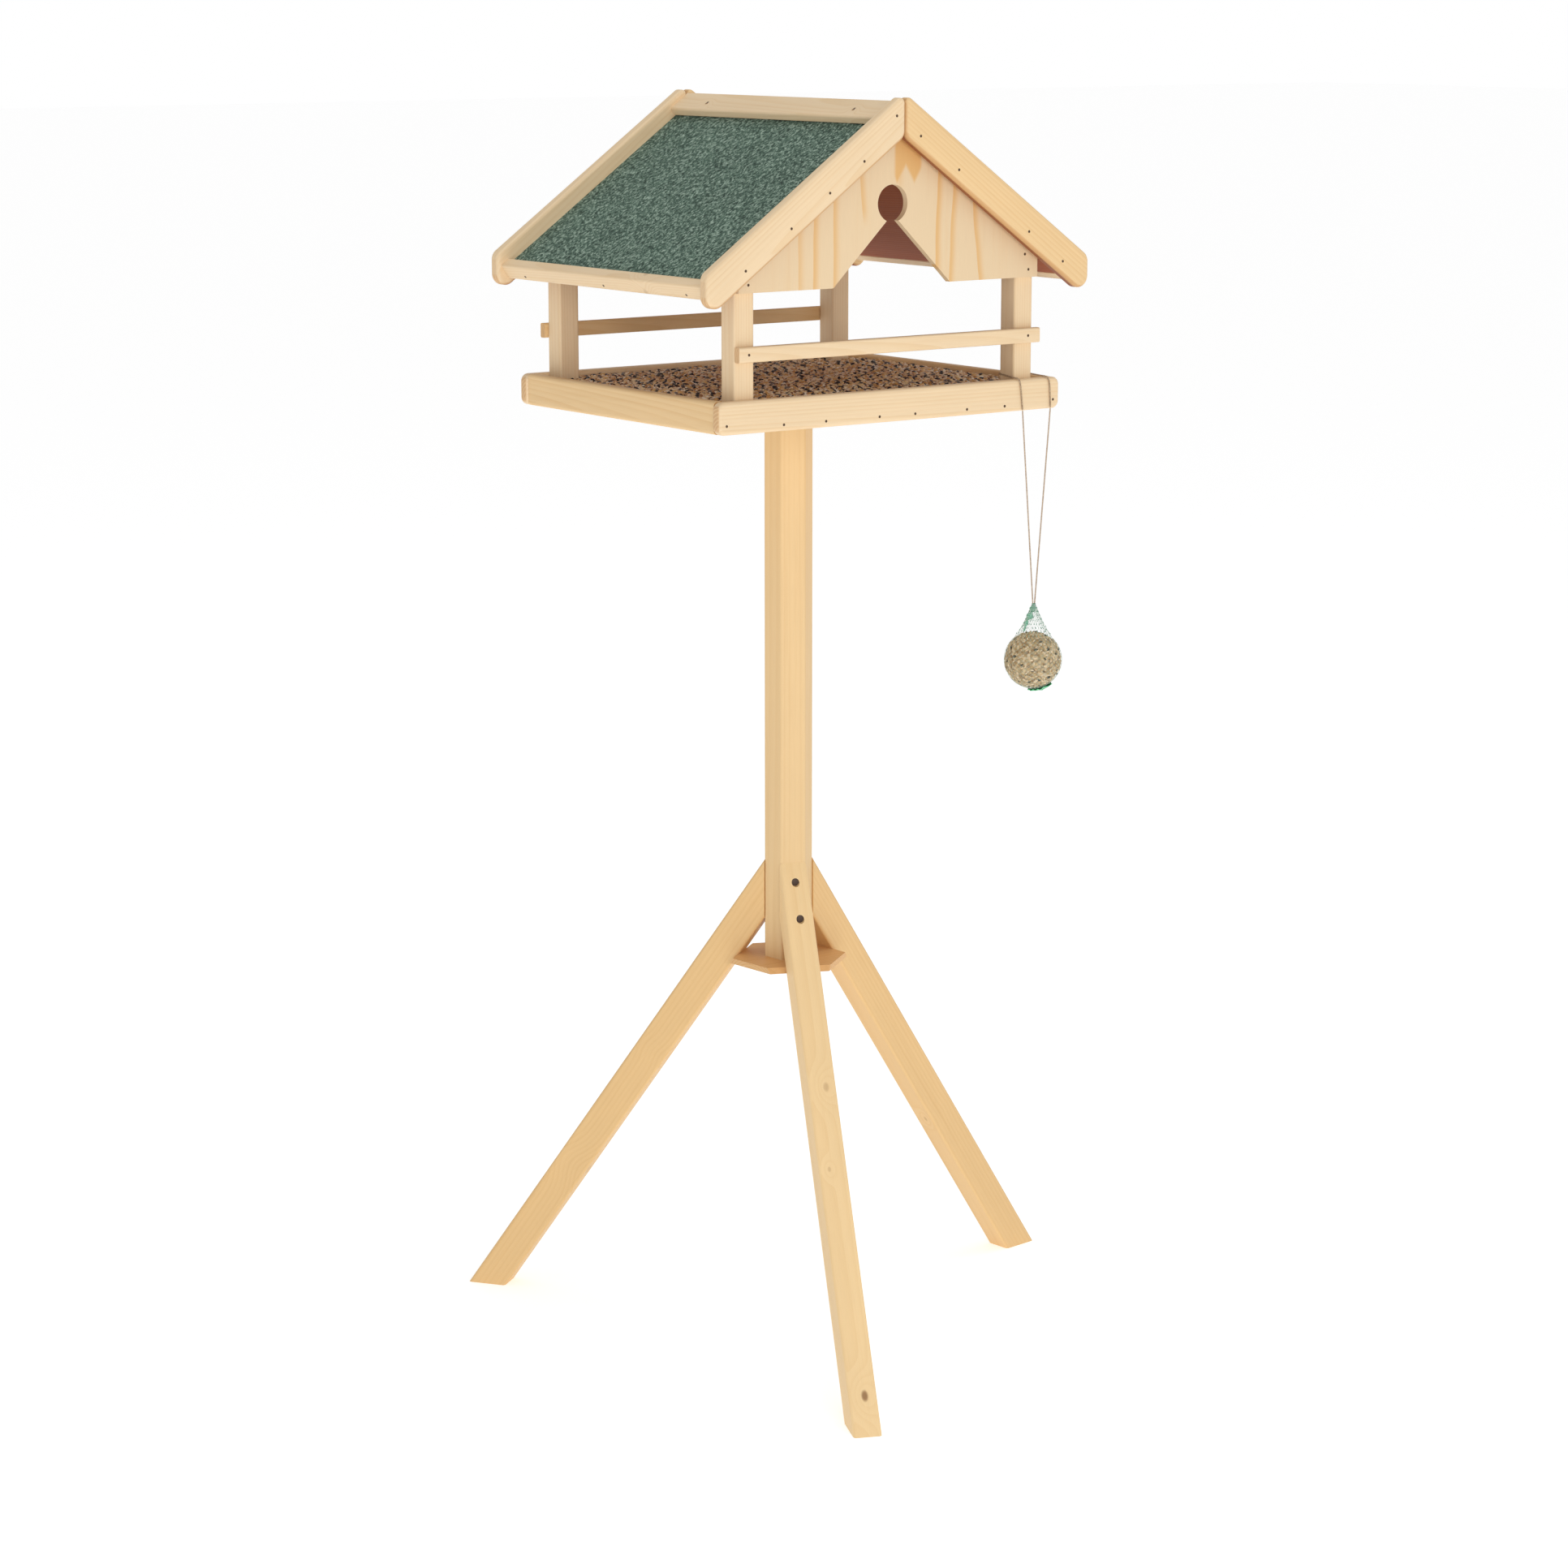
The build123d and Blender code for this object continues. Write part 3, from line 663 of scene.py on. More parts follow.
def rope_mesh(line, radius, plies, pitch, around):
    """Verts and faces of a laid rope: its section has a lobe for each ply, and its ends are round."""
    verts = []
    travelled = 0.0
    length = run_length(line)
    for i, (first, second) in enumerate(frames_along(line)):
        if i:
            travelled += (line[i] - line[i - 1]).length
        lay = 2 * math.pi * travelled / pitch
        flat = 1.0 - min(1.0, min(travelled, length - travelled) / radius)
        round_end = max(ROPE_TIP, math.sqrt(1.0 - flat * flat))
        for k in range(around):
            angle = 2 * math.pi * k / around
            lobe = 0.5 + 0.5 * math.cos(plies * (angle - lay))
            size = radius * (VALLEY + PLY_RISE * lobe ** 0.7) * round_end
            verts.append(line[i] + (first * math.cos(angle) + second * math.sin(angle)) * size)
    return verts, tube_faces(len(line), around)


# ---- twine

TWINE = 1.6 * MM
PLIES = 3
LAY_PITCH = 3.6 * MM
PIVOT_GAP = 0.16 * MM  # from the hinge line to each end of the twine there
TWINE_OFF = 1.2 * MM  # from what the twine passes over to the twine's middle
EASE = 9.5 * MM  # from an edge to the route's next point


def twine_route():
    """Over the front slat, round the back of the post and over the slat again."""
    left = POST_LOW.x + 0.5 * MM
    right = POST_HIGH.x + 14.5 * MM
    post_left = POST_LOW.x - TWINE_OFF
    post_right = POST_HIGH.x + TWINE_OFF
    back = POST_HIGH.y + TWINE_OFF
    over = RIM_TOP + TWINE_OFF
    front = PIVOT.y
    foot = PIVOT.z + PIVOT_GAP
    return [
        Vector((left, front, foot)),
        Vector((left - 2.4 * MM, front, over - EASE)),
        Vector((left - 4.8 * MM, front, over)),
        Vector((left - 5.6 * MM, front + EASE, over + 0.3 * MM)),
        Vector((post_left, back - EASE, over + 1.6 * MM)),
        Vector((post_left, back, over + 2.0 * MM)),
        Vector((post_left + EASE, back, over + 2.3 * MM)),
        Vector((post_right - EASE, back, over + 2.7 * MM)),
        Vector((post_right, back, over + 3.0 * MM)),
        Vector((post_right + 2.8 * MM, back - EASE, over + 2.3 * MM)),
        Vector((right - 6.0 * MM, front + EASE, over + 0.5 * MM)),
        Vector((right - 3.6 * MM, front, over)),
        Vector((right - 0.7 * MM, front, over - EASE)),
        Vector((right, front, foot)),
    ]


def twine_piece(name, node, route, material, body):
    line = spaced(nurbs_line(route), 0.45 * MM)
    verts, faces = rope_mesh(line, TWINE / 2, PLIES, LAY_PITCH, 12)
    piece = new_piece(name, verts, faces, material, body)
    run_length(line)
    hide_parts(node)


def add_twine():
    tied = thread_finish("twine_tied", (0.22, 0.135, 0.075), (0.60, 0.45, 0.30), 0.9)
    hanging = thread_finish("twine_hanging", (0.30, 0.205, 0.14), (0.68, 0.55, 0.42), 0.9)
    route = twine_route()
    twine_piece("twine_on_slat", "twine_wrap", route, tied, FEEDER)
    for hand, top in (("left", route[0]), ("right", route[-1])):
        start = Vector((top.x, PIVOT.y, PIVOT.z - PIVOT_GAP))
        foot = Vector((BALL.x + SIDES[hand] * 1.2 * MM, PIVOT.y, NET_TOP + 0.2 * MM))
        twine_piece(f"strand_{hand}", f"twine_{hand}", [start, foot], hanging, HANGING)


# ---- geometry node trees


class Plan:
    """A geometry node tree with named inputs."""

    def __init__(self, name, inputs):
        self.tree = bpy.data.node_groups.new(name, "GeometryNodeTree")
        self.ids = {}
        face = self.tree.interface
        face.new_socket("Geometry", in_out="INPUT", socket_type="NodeSocketGeometry")
        for label, kind in inputs.items():
            made = face.new_socket(label, in_out="INPUT", socket_type=kind)
            self.ids[label] = made.identifier
        face.new_socket("Geometry", in_out="OUTPUT", socket_type="NodeSocketGeometry")
        self.entry = self.tree.nodes.new("NodeGroupInput")
        self.exit = self.tree.nodes.new("NodeGroupOutput")

    def given(self, label):
        return self.entry.outputs[label]

    def node(self, kind, settings=None, fed=None, out=0):
        made = self.tree.nodes.new(kind)
        for name, value in (settings or {}).items():
            setattr(made, name, value)
        for name, value in (fed or {}).items():
            if isinstance(value, bpy.types.NodeSocket):
                self.tree.links.new(value, made.inputs[name])
            else:
                made.inputs[name].default_value = value
        return made.outputs[out]

    def maths(self, operation, first, second=0.0):
        return self.node("ShaderNodeMath", {"operation": operation}, {0: first, 1: second})

    def product(self, first, *others):
        for other in others:
            first = self.maths("MULTIPLY", first, other)
        return first

    def ends(self, geometry):
        self.tree.links.new(geometry, self.exit.inputs[0])

    def grown(self, name, mesh, values, body, slot):
        """Runs the tree on a mesh and gives the result as a plain piece."""
        holder = bpy.data.objects.new(name + "_plan", mesh)
        scene.collection.objects.link(holder)
        modifier = holder.modifiers.new("plan", "NODES")
        modifier.node_group = self.tree
        for label, value in values.items():
            modifier[self.ids[label]] = value
        bpy.context.view_layer.update()
        graph = bpy.context.evaluated_depsgraph_get()
        made = bpy.data.meshes.new_from_object(holder.evaluated_get(graph))
        made.name = name
        bpy.data.objects.remove(holder)
        return finished(name, made, body)


MOST_KERNELS = 400000.0  # on each square metre, before the spacing thins them
KERNEL_FLATNESS = 0.88
LEAST_KERNEL = 0.82  # size of the smallest kernel of a kind, as a share of the usual one
MOST_KERNEL = 1.16


def kernel_plan():
    """Scatters kernels of one kind over a surface, each turned, tipped and sized at random."""
    number = "NodeSocketFloat"
    plan = Plan("kernels", {
        "Spacing": number, "Share": number, "Length": number, "Width": number, "Taper": number,
        "Tip": number, "Sink": number, "Seed": "NodeSocketInt", "Finish": "NodeSocketMaterial",
    })
    fed = {"Mesh": plan.given("Geometry"), "Distance Min": plan.given("Spacing"), "Density Max": MOST_KERNELS,
           "Density Factor": plan.given("Share"), "Seed": plan.given("Seed")}
    spots = plan.node("GeometryNodeDistributePointsOnFaces", {"distribute_method": "POISSON"}, fed).node
    ball = plan.node("GeometryNodeMeshUVSphere", {}, {"Segments": 6, "Rings": 4, "Radius": 0.5})
    turned = plan.node("GeometryNodeTransform", {}, {"Geometry": ball, "Rotation": (0, math.pi / 2, 0)})
    place = plan.node("ShaderNodeSeparateXYZ", {}, {0: plan.node("GeometryNodeInputPosition")}).node
    forward = place.outputs[0]
    narrowing = plan.product(plan.given("Taper"), plan.maths("ADD", forward, 0.5))
    thin = plan.maths("SUBTRACT", 1.0, narrowing)
    x = plan.product(forward, plan.given("Length"))
    y = plan.product(place.outputs[1], plan.given("Width"), thin)
    z = plan.product(place.outputs[2], plan.given("Width"), thin, KERNEL_FLATNESS)
    shaped = plan.node("ShaderNodeCombineXYZ", {}, {0: x, 1: y, 2: z})
    kernel = plan.node("GeometryNodeSetPosition", {}, {"Geometry": turned, "Position": shaped})
    tip = plan.given("Tip")
    other_tip = plan.product(tip, -1.0)
    low = plan.node("ShaderNodeCombineXYZ", {}, {0: other_tip, 1: other_tip, 2: 0.0})
    high = plan.node("ShaderNodeCombineXYZ", {}, {0: tip, 1: tip, 2: 2 * math.pi})
    spin = plan.node("FunctionNodeRandomValue", {"data_type": "FLOAT_VECTOR"},
                     {0: low, 1: high, "Seed": plan.given("Seed")})
    upright = plan.node("FunctionNodeEulerToRotation", {}, {0: spin})
    facing = plan.node("FunctionNodeRotateRotation", {}, {0: spots.outputs["Rotation"], 1: upright})
    facing.node.rotation_space = "LOCAL"
    size = plan.node("FunctionNodeRandomValue", {"data_type": "FLOAT"},
                     {2: LEAST_KERNEL, 3: MOST_KERNEL, "Seed": plan.maths("ADD", plan.given("Seed"), 7.0)}, 1)
    fed = {"Points": spots.outputs["Points"], "Instance": kernel, "Rotation": facing, "Scale": size}
    placed = plan.node("GeometryNodeInstanceOnPoints", {}, fed)
    drop = plan.node("ShaderNodeCombineXYZ", {}, {2: plan.product(plan.given("Sink"), -1.0)})
    sunk = plan.node("GeometryNodeTranslateInstances", {},
                     {"Instances": placed, "Translation": drop, "Local Space": False})
    tone = plan.node("FunctionNodeRandomValue", {"data_type": "FLOAT"},
                     {2: 0.0, 3: 1.0, "Seed": plan.maths("ADD", plan.given("Seed"), 13.0)}, 1)
    marked = plan.node("GeometryNodeStoreNamedAttribute", {"data_type": "FLOAT", "domain": "INSTANCE"},
                       {"Geometry": sunk, "Name": "tone", "Value": tone})
    real = plan.node("GeometryNodeRealizeInstances", {}, {"Geometry": marked})
    plan.ends(plan.node("GeometryNodeSetMaterial", {}, {"Geometry": real, "Material": plan.given("Finish")}))
    return plan


# ---- seed bed

BED_STEP = 4 * MM
BED_SINK = 2.6 * MM  # from the level of the feed to the surface that the kernels lie on
BED_WAVES = 1.5 * MM
BED_GRAIN = 0.5 * MM
POST_GAP = 1.5 * MM


def bed_height(x, y):
    wide = noise.noise(Vector((x * 11, y * 11, 0.3)))
    fine = noise.noise(Vector((x * 90, y * 90, 4.1)))
    return BED_HIGH.z - BED_SINK + wide * BED_WAVES + fine * BED_GRAIN


def under_post(x, y):
    inside_x = POST_LOW.x - POST_GAP < abs(x) < POST_HIGH.x + POST_GAP
    return inside_x and abs(y) > -POST_HIGH.y - POST_GAP


def bed_grid(edge):
    """Grid over the tray; edge is how far it keeps from the slats, and a grid with an edge also leaves out
    the four posts.
    """
    columns = round((BED_HIGH.x - BED_LOW.x) / BED_STEP)
    rows = round((BED_HIGH.y - BED_LOW.y) / BED_STEP)
    verts = []
    for j in range(rows + 1):
        for i in range(columns + 1):
            x = BED_LOW.x + edge + (BED_HIGH.x - BED_LOW.x - 2 * edge) * i / columns
            y = BED_LOW.y + edge + (BED_HIGH.y - BED_LOW.y - 2 * edge) * j / rows
            verts.append((x, y, bed_height(x, y)))
    faces = []
    for j in range(rows):
        for i in range(columns):
            a = j * (columns + 1) + i
            centre = [(verts[a][k] + verts[a + columns + 2][k]) / 2 for k in (0, 1)]
            if edge == 0 or not under_post(*centre):
                faces.append((a, a + 1, a + columns + 2, a + columns + 1))
    return verts, faces


CRUMBS = (
    (0.0, (0.05, 0.02, 0.01)),
    (0.45, (0.20, 0.09, 0.035)),
    (0.8, (0.38, 0.20, 0.09)),
    (1.0, (0.6, 0.4, 0.22)),
)
CREAM = (
    (0.0, (0.62, 0.38, 0.20)),
    (0.35, (0.82, 0.60, 0.38)),
    (0.7, (0.93, 0.77, 0.56)),
    (1.0, (0.96, 0.89, 0.75)),
)
BROWN = (
    (0.0, (0.14, 0.055, 0.02)),
    (0.4, (0.42, 0.20, 0.08)),
    (0.75, (0.64, 0.36, 0.17)),
    (1.0, (0.82, 0.56, 0.32)),
)
BLACK = ((0.0, (0.012, 0.009, 0.008)), (0.6, (0.035, 0.026, 0.022)), (1.0, (0.20, 0.16, 0.13)))
GOLD = ((0.0, (0.55, 0.28, 0.09)), (0.5, (0.70, 0.43, 0.17)), (1.0, (0.84, 0.64, 0.38)))

# Name, tones, spacing, share kept, length, width, taper, tip, sink, seed and roughness; sizes in mm
BED_KERNELS = (
    ("wheat", CREAM, 4.6, 0.85, 5.6, 4.8, 0.2, 0.5, -0.1, 11, 0.55),
    ("sorghum", BROWN, 5.4, 0.85, 5.0, 4.8, 0.05, 0.9, 0.1, 23, 0.5),
    ("sunflower", BLACK, 12.0, 0.85, 8.0, 5.6, 0.45, 0.6, -0.9, 37, 0.4),
    ("maize", GOLD, 11.0, 0.85, 7.2, 6.4, 0.3, 0.7, -0.6, 51, 0.45),
    ("oats", CREAM, 12.0, 0.70, 8.0, 3.4, 0.35, 0.35, -0.9, 67, 0.65),
)
KERNELS_KEEP_OFF = 3.2 * MM  # from the slats to the nearest kernel's middle


def scatter(plan, name, verts, faces, kind, finish, body, slot):
    """Grows kernels of one kind on a surface."""
    spacing, share, length, width, taper, tip, sink, seed = kind
    mesh = bpy.data.meshes.new(name + "_ground")
    mesh.from_pydata([tuple(v) for v in verts], [], faces)
    values = {"Spacing": spacing * MM, "Share": share, "Length": length * MM, "Width": width * MM,
              "Taper": taper, "Tip": tip, "Sink": sink * MM, "Seed": seed, "Finish": finish}
    plan.grown(name, mesh, values, body, slot)


def add_seed_bed(plan):
    verts, faces = bed_grid(0.0)
    base = new_piece("seed_bed_base", verts, faces, crumb_finish("bed_crumbs", CRUMBS, 210.0), FEEDER)
    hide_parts("seed_bed")
    verts, faces = bed_grid(KERNELS_KEEP_OFF)
    for name, tones, *kind, roughness in BED_KERNELS:
        scatter(plan, "seed_" + name, verts, faces, kind, seed_finish(name, tones, roughness), FEEDER, "seed")


# ---- felt

FELT_STEP = 1.7 * MM
FELT_THICK = 2.0 * MM
FELT_SKIN = 0.25  # how far under the frame's surface the felt's own lies, in mm
FELT_SWELL = 0.22  # height of its slow waves, in mm
FELT_ROUGH = 0.20  # height of its mineral, in mm


def add_felt(side, hand, material):
    """Felt of one slope: a thin closed sheet whose top is rough with mineral and not quite flat."""
    low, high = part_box(f"roof_felt_{hand}")
    down = Vector((side * math.cos(ROOF_PITCH), 0, -math.sin(ROOF_PITCH)))
    normal = Vector((side * math.sin(ROOF_PITCH), 0, math.cos(ROOF_PITCH)))
    reach = high.x if side > 0 else -low.x
    length = reach / math.cos(ROOF_PITCH)
    start = Vector((0, low.y, high.z))
    columns = round(length / FELT_STEP)
    rows = round((high.y - low.y) / FELT_STEP)
    verts = []
    for j in range(rows + 1):
        for i in range(columns + 1):
            y = (high.y - low.y) * j / rows
            along = length * i / columns
            at = start + down * along + Vector((0, y, 0))
            lift = 0.0
            if 0 < i < columns and 0 < j < rows:
                lift += FELT_SWELL * noise.noise(Vector((along * 14, y * 14, side)))
                lift += FELT_ROUGH * noise.noise(Vector((along * 520, y * 520, 7.0 + side)))
            verts.append(at + normal * (lift - FELT_SKIN) * MM)
    faces = []
    for j in range(rows):
        for i in range(columns):
            a = j * (columns + 1) + i
            ring = (a, a + 1, a + columns + 2, a + columns + 1)
            faces.append(ring if side > 0 else ring[::-1])
    border = list(range(columns + 1))
    border += [(j + 1) * (columns + 1) - 1 for j in range(1, rows + 1)]
    border += [rows * (columns + 1) + i for i in range(columns - 1, -1, -1)]
    border += [j * (columns + 1) for j in range(rows - 1, 0, -1)]
    base = len(verts)
    for index in border:
        verts.append(verts[index] - normal * (FELT_THICK - FELT_SKIN * MM))
    count = len(border)
    for k in range(count):
        after = (k + 1) % count
        ring = (border[k], base + k, base + after, border[after])
        faces.append(ring if side > 0 else ring[::-1])
    under = tuple(base + k for k in range(count))
    faces.append(under[::-1] if side > 0 else under)
    piece = new_piece(f"felt_{hand}", verts, faces, material, FEEDER, smooth=False)
    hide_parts(f"roof_felt_{hand}")


# ---- fat ball and net


PRESSED_FEED = (
    (0.0, (0.28, 0.17, 0.08)),
    (0.3, (0.46, 0.33, 0.16)),
    (0.65, (0.62, 0.47, 0.26)),
    (1.0, (0.76, 0.60, 0.40)),
)
PALE_GRAIN = ((0.0, (0.42, 0.27, 0.13)), (0.5, (0.64, 0.47, 0.26)), (1.0, (0.84, 0.68, 0.47)))
DARK_SEED = ((0.0, (0.02, 0.022, 0.012)), (0.7, (0.06, 0.055, 0.03)), (1.0, (0.22, 0.15, 0.07)))

# Name, tones, spacing, share kept, length, width, taper, tip, sink and seed; sizes in mm
BALL_KERNELS = (
    ("ball_grain", PALE_GRAIN, 3.4, 0.6, 3.8, 2.2, 0.25, 0.25, 0.0, 91),
    ("ball_sunflower", DARK_SEED, 11.0, 0.8, 4.4, 3.4, 0.4, 0.25, 0.0, 97),
)
BALL_RINGS = 90
BALL_AROUND = 150
POLE_SINK = 0.8 * MM  # of the ball's lowest and highest points
SKIN_SINK = 0.9  # mean depth of the ball's skin under the frame's sphere, in mm


def way_out(polar, turn):
    """Direction from a ball's centre, at an angle from straight down and a turn round the upright."""
    return Vector((math.sin(polar) * math.cos(turn), math.sin(polar) * math.sin(turn), -math.cos(polar)))


def add_ball(plan):
    """Pressed ball of fat and seed, lumpy, with seeds showing in its surface."""
    verts = [BALL + Vector((0, 0, -1)) * (BALL_RADIUS - POLE_SINK)]
    for j in range(1, BALL_RINGS):
        for i in range(BALL_AROUND):
            way = way_out(math.pi * j / BALL_RINGS, 2 * math.pi * i / BALL_AROUND)
            lump = 0.7 * noise.noise(way * 2.3) + 0.55 * noise.noise(way * 9.0)
            lump += 0.25 * noise.noise(way * 24.0)
            verts.append(BALL + way * (BALL_RADIUS - (SKIN_SINK - lump) * MM))
    verts.append(BALL + Vector((0, 0, 1)) * (BALL_RADIUS - POLE_SINK))
    faces = []
    last = len(verts) - 1
    for i in range(BALL_AROUND):
        after = (i + 1) % BALL_AROUND
        faces.append((0, 1 + after, 1 + i))
        faces.append((last, last - BALL_AROUND + i, last - BALL_AROUND + after))
        for j in range(BALL_RINGS - 2):
            base = 1 + j * BALL_AROUND
            above = base + BALL_AROUND
            faces.append((base + i, base + after, above + after, above + i))
    crumbs = crumb_finish("pressed_feed", PRESSED_FEED, 330.0)
    ball = new_piece("fat_ball", verts, faces, crumbs, HANGING)
    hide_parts("feed_ball")
    for name, tones, *kind in BALL_KERNELS:
        scatter(plan, name, verts, faces, kind, seed_finish(name, tones, 0.6), HANGING, "feed_fat")


def net_plan():
    """Turns a lattice of edges into thin cord, with a knot where the cords cross."""
    number = "NodeSocketFloat"
    plan = Plan("netting", {"Cord": number, "Knot": number, "Finish": "NodeSocketMaterial"})
    lines = plan.node("GeometryNodeMeshToCurve", {}, {"Mesh": plan.given("Geometry")})
    ring = plan.node("GeometryNodeCurvePrimitiveCircle", {}, {"Resolution": 6, "Radius": plan.given("Cord")})
    fed = {"Curve": lines, "Profile Curve": ring, "Fill Caps": True}
    cords = plan.node("GeometryNodeCurveToMesh", {}, fed)
    bead = plan.node("GeometryNodeMeshIcoSphere", {}, {"Radius": plan.given("Knot"), "Subdivisions": 1})
    fed = {"Points": plan.given("Geometry"), "Instance": bead}
    knots = plan.node("GeometryNodeInstanceOnPoints", {}, fed)
    joined = plan.tree.nodes.new("GeometryNodeJoinGeometry")
    plan.tree.links.new(cords, joined.inputs[0])
    plan.tree.links.new(knots, joined.inputs[0])
    real = plan.node("GeometryNodeRealizeInstances", {}, {"Geometry": joined.outputs[0]})
    plan.ends(plan.node("GeometryNodeSetMaterial", {}, {"Geometry": real, "Material": plan.given("Finish")}))
    return plan


NET_AROUND = 26
NET_LIFT = 0.35 * MM  # from the ball to the net's cords
NET_CORD = 0.13 * MM
NET_NECK = 1.6 * MM
BALL_ROWS = 24
SLEEVE_ROWS = 9
NET_FOOT = -82  # angles of the net's lowest row and of the row where it leaves the ball, from the level
NET_ARC = 132


def net_profile():
    """Radius and height, above the ball's centre, of the net's rows: ball, loose sleeve and neck."""
    reach = BALL_RADIUS + NET_LIFT
    rows = []
    for k in range(BALL_ROWS + 1):
        angle = math.radians(NET_FOOT + NET_ARC * k / BALL_ROWS)
        rows.append((reach * math.cos(angle), reach * math.sin(angle)))
    top = NET_TOP - BALL.z
    leave_radius, leave_height = rows[-1]
    for k in range(1, SLEEVE_ROWS + 1):
        share = k / SLEEVE_ROWS
        bend = share ** 0.8
        height = leave_height + (top - leave_height) * share
        rows.append((leave_radius * (1 - bend) + NET_NECK * bend, height))
    return rows


def net_slack(turn, height):
    """How far the loose sleeve puffs out, as a share of its radius."""
    if height <= 0.8 * BALL_RADIUS:
        return 1.0
    return 1.0 + 0.16 * noise.noise(Vector((3 * math.cos(turn), 3 * math.sin(turn), height * 60)))


def add_net():
    mint = thread_finish("net_cord", (0.44, 0.62, 0.50), (0.80, 0.88, 0.80), 0.45, Alpha=0.5)
    verts = []
    edges = []
    rows = net_profile()
    for j, (radius, height) in enumerate(rows):
        for i in range(NET_AROUND):
            turn = 2 * math.pi * (i + 0.5 * (j % 2)) / NET_AROUND
            slack = net_slack(turn, height)
            spot = Vector((math.cos(turn) * radius * slack, math.sin(turn) * radius * slack, height))
            verts.append(tuple(BALL + spot))
    for j in range(len(rows) - 1):
        for i in range(NET_AROUND):
            here = j * NET_AROUND + i
            step = 1 if j % 2 else -1
            other = (j + 1) * NET_AROUND + (i + step) % NET_AROUND
            edges.append((here, (j + 1) * NET_AROUND + i))
            edges.append((here, other))
    mesh = bpy.data.meshes.new("net_lattice")
    mesh.from_pydata(verts, edges, [])
    netting = net_plan()
    values = {"Cord": NET_CORD, "Knot": 0.3 * MM, "Finish": mint}
    net = netting.grown("net_bag", mesh, values, HANGING, "net")
    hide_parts("ball_net")
    drawn = [v for i, v in enumerate(verts) if v[2] > BALL.z + 0.86 * BALL_RADIUS and (i * 7) % 3]
    mesh = bpy.data.meshes.new("net_crossings")
    mesh.from_pydata(drawn, [], [])
    grey = thread_finish("net_knot", (0.05, 0.25, 0.16), (0.30, 0.50, 0.40), 0.5)
    netting.grown("net_knots", mesh, {"Cord": NET_CORD, "Knot": 0.62 * MM, "Finish": grey}, HANGING, "net")


STRIP_AROUND = 14
STRIP_THIN = 0.8 * MM
STRIP_TURNS = 1.7


def add_net_twist():
    """The twisted strip of gathered net between the neck and the ball."""
    mint = thread_finish("net_twist", (0.02, 0.30, 0.16), (0.36, 0.78, 0.58), 0.35)
    top = Vector((BALL.x, BALL.y, NET_TOP - 1.0 * MM))
    foot = BALL + Vector((-9.0, 4.5, 31.0)) * MM
    route = [top, top + Vector((-1.5, 0.8, -8.0)) * MM, top + Vector((-6.5, 3.2, -17.0)) * MM, foot]
    line = spaced(nurbs_line(route), 0.5 * MM)
    verts = []
    for i, (first, second) in enumerate(frames_along(line)):
        share = i / (len(line) - 1)
        turn = share * 2 * math.pi * STRIP_TURNS
        wide = (2.0 + 1.7 * math.sin(math.pi * min(1.0, share * 1.3)) - 1.1 * share ** 3) * MM
        for k in range(STRIP_AROUND):
            angle = 2 * math.pi * k / STRIP_AROUND
            crease = 1.0 + 0.16 * math.cos(5 * angle)
            flat = math.cos(angle) * wide * crease
            deepness = math.sin(angle) * STRIP_THIN * crease
            offset = first * (flat * math.cos(turn) - deepness * math.sin(turn))
            offset += second * (flat * math.sin(turn) + deepness * math.cos(turn))
            verts.append(line[i] + offset)
    new_piece("net_twist", verts, tube_faces(len(line), STRIP_AROUND), mint, HANGING)


HEM_RINGS = 14
HEM_AROUND = 90
HEM_REACH = 12.5  # mm
HEM_TILT = Euler((math.radians(-9), math.radians(-15), 0))


def hem_point(share, turn, side):
    """A point of the hem's outer or inner side; share runs from its middle to its rim."""
    fold = math.sin(11 * turn + 2.0 * math.sin(2 * turn))
    reach = (HEM_REACH + 1.6 * math.sin(3 * turn)) * share
    lift = 1.3 + 1.1 * share * (1 - 0.4 * share) * (1 + fold) + 3.0 * (1 - share) ** 3 + 0.5 * side
    way = way_out(reach * MM / BALL_RADIUS, turn)
    return BALL + HEM_TILT.to_matrix() @ way * (BALL_RADIUS + lift * MM)


def add_net_hem():
    """The bunched hem under the ball: a folded disc with an outer and an inner side."""
    deep = thread_finish("net_hem", (0.02, 0.27, 0.10), (0.10, 0.62, 0.28), 0.4)
    verts = []
    for side in (1.0, 0.0):
        for j in range(HEM_RINGS + 1):
            for i in range(HEM_AROUND):
                verts.append(hem_point(j / HEM_RINGS, 2 * math.pi * i / HEM_AROUND, side))
    half = (HEM_RINGS + 1) * HEM_AROUND
    faces = []
    for j in range(HEM_RINGS):
        for i in range(HEM_AROUND):
            after = (i + 1) % HEM_AROUND
            a = j * HEM_AROUND
            b = a + HEM_AROUND
            faces.append((a + i, b + i, b + after, a + after))
            faces.append((half + a + i, half + a + after, half + b + after, half + b + i))
    rim = HEM_RINGS * HEM_AROUND
    for i in range(HEM_AROUND):
        after = (i + 1) % HEM_AROUND
        faces.append((rim + i, half + rim + i, half + rim + after, rim + after))
    faces.append(tuple(range(HEM_AROUND)))
    faces.append(tuple(half + i for i in reversed(range(HEM_AROUND))))
    new_piece("net_hem", verts, faces, deep, HANGING)


# ---- light and floor


HOUSE = (0, 0, 1.1)  # what the lights point at
AMBIENT = 0.58
FLOOR_WHITE = (0.90, 0.90, 0.90, 1.0)
FLOOR_GLOW = 0.46  # the floor is a lit table
FLOOR_HALF = 40.0

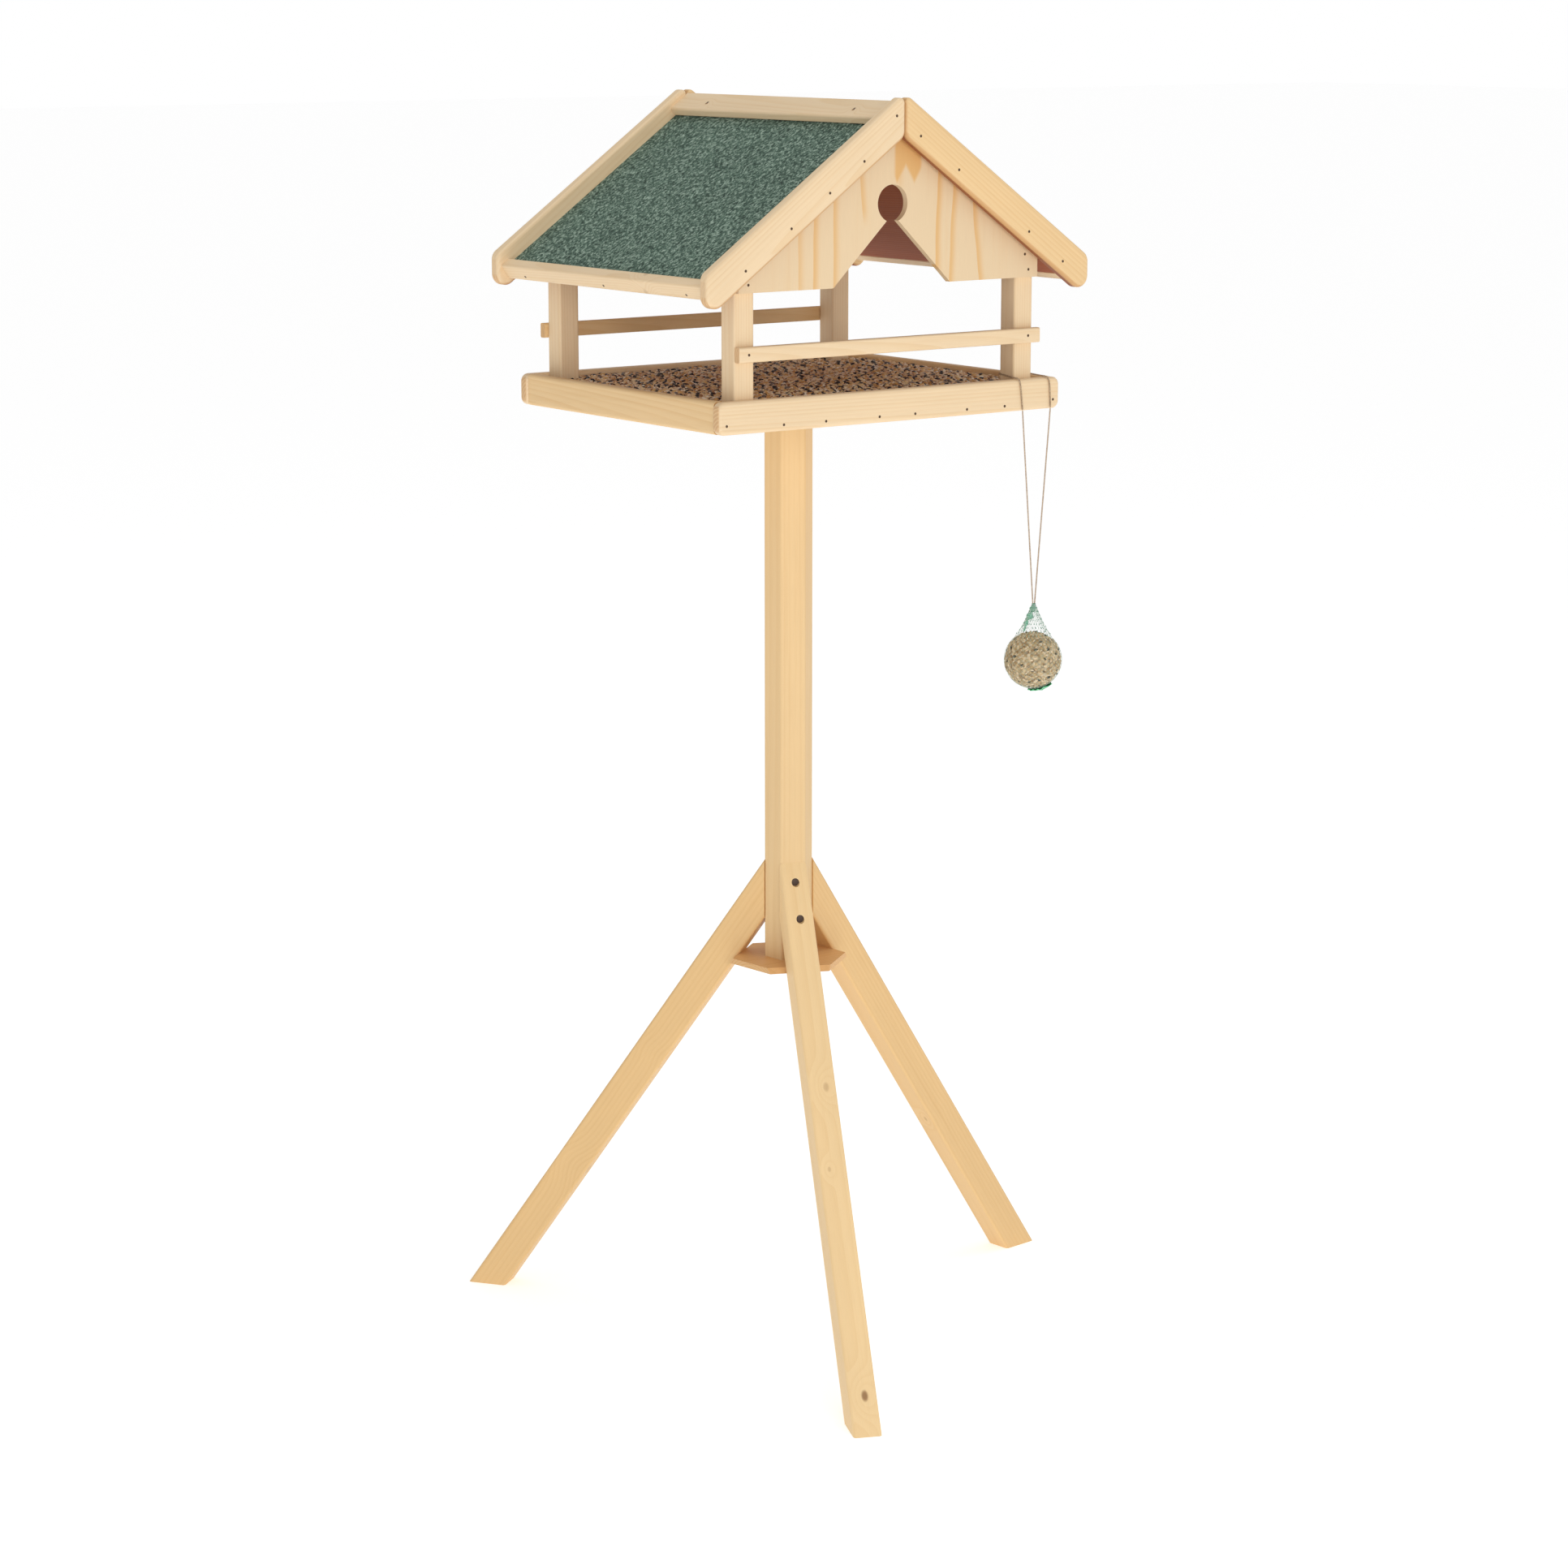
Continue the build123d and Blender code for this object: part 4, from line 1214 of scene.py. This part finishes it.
# Name, place, size, power and colour of each soft light
STUDIO_LIGHTS = (
    ("key", (-1.9, -4.2, 1.75), 1.6, 33.0, (1.0, 0.99, 0.975)),
    ("low", (-1.5, -4.3, 1.05), 1.0, 16.0, (1.0, 0.99, 0.975)),
    ("top", (0.6, -0.4, 4.6), 2.0, 26.0, (1.0, 1.0, 1.0)),
)


def add_lights():
    for name, place, size, power, tint in STUDIO_LIGHTS:
        data = bpy.data.lights.new(name, "AREA")
        data.shape = "SQUARE"
        data.size = size
        data.energy = power
        data.color = tint
        lamp = bpy.data.objects.new(name, data)
        lamp.location = place
        lamp.rotation_euler = (Vector(HOUSE) - Vector(place)).to_track_quat("-Z", "Y").to_euler()
        scene.collection.objects.link(lamp)


def add_floor():
    glow = {"Emission_Color": (1, 1, 1, 1), "Emission_Strength": FLOOR_GLOW}
    material = Finish("studio_floor").surface(FLOOR_WHITE, 0.9, **glow)
    corners = [(x * FLOOR_HALF, y * FLOOR_HALF, 0) for x, y in ((-1, -1), (1, -1), (1, 1), (-1, 1))]
    mesh = bpy.data.meshes.new("studio_floor")
    mesh.from_pydata(corners, [], [(0, 1, 2, 3)])
    mesh.materials.append(material)
    floor = bpy.data.objects.new("studio_floor", mesh)
    scene.collection.objects.link(floor)


def add_surroundings():
    """A world that lights the object softly and is white where it is seen behind it."""
    world = bpy.data.worlds.new("studio")
    scene.world = world
    world.use_nodes = True
    nodes = world.node_tree.nodes
    background = nodes["Background"]
    background.inputs["Color"].default_value = (1.0, 1.0, 1.0, 1.0)
    seen = nodes.new("ShaderNodeLightPath")
    strength = nodes.new("ShaderNodeMapRange")
    strength.inputs["To Min"].default_value = AMBIENT
    strength.inputs["To Max"].default_value = 1.0
    world.node_tree.links.new(seen.outputs["Is Camera Ray"], strength.inputs["Value"])
    world.node_tree.links.new(strength.outputs["Result"], background.inputs["Strength"])
    scene.view_settings.view_transform = "Standard"


# ---- everything

add_camera()
add_twine()
dress_tray()
dress_roof()
dress_ends()
dress_stand()
felt = felt_finish()
for hand, side in SIDES.items():
    add_felt(side, hand, felt)
dress_metal()
kernels = kernel_plan()
add_seed_bed(kernels)
add_ball(kernels)
add_net()
add_net_twist()
add_net_hem()
add_floor()
add_surroundings()
add_lights()
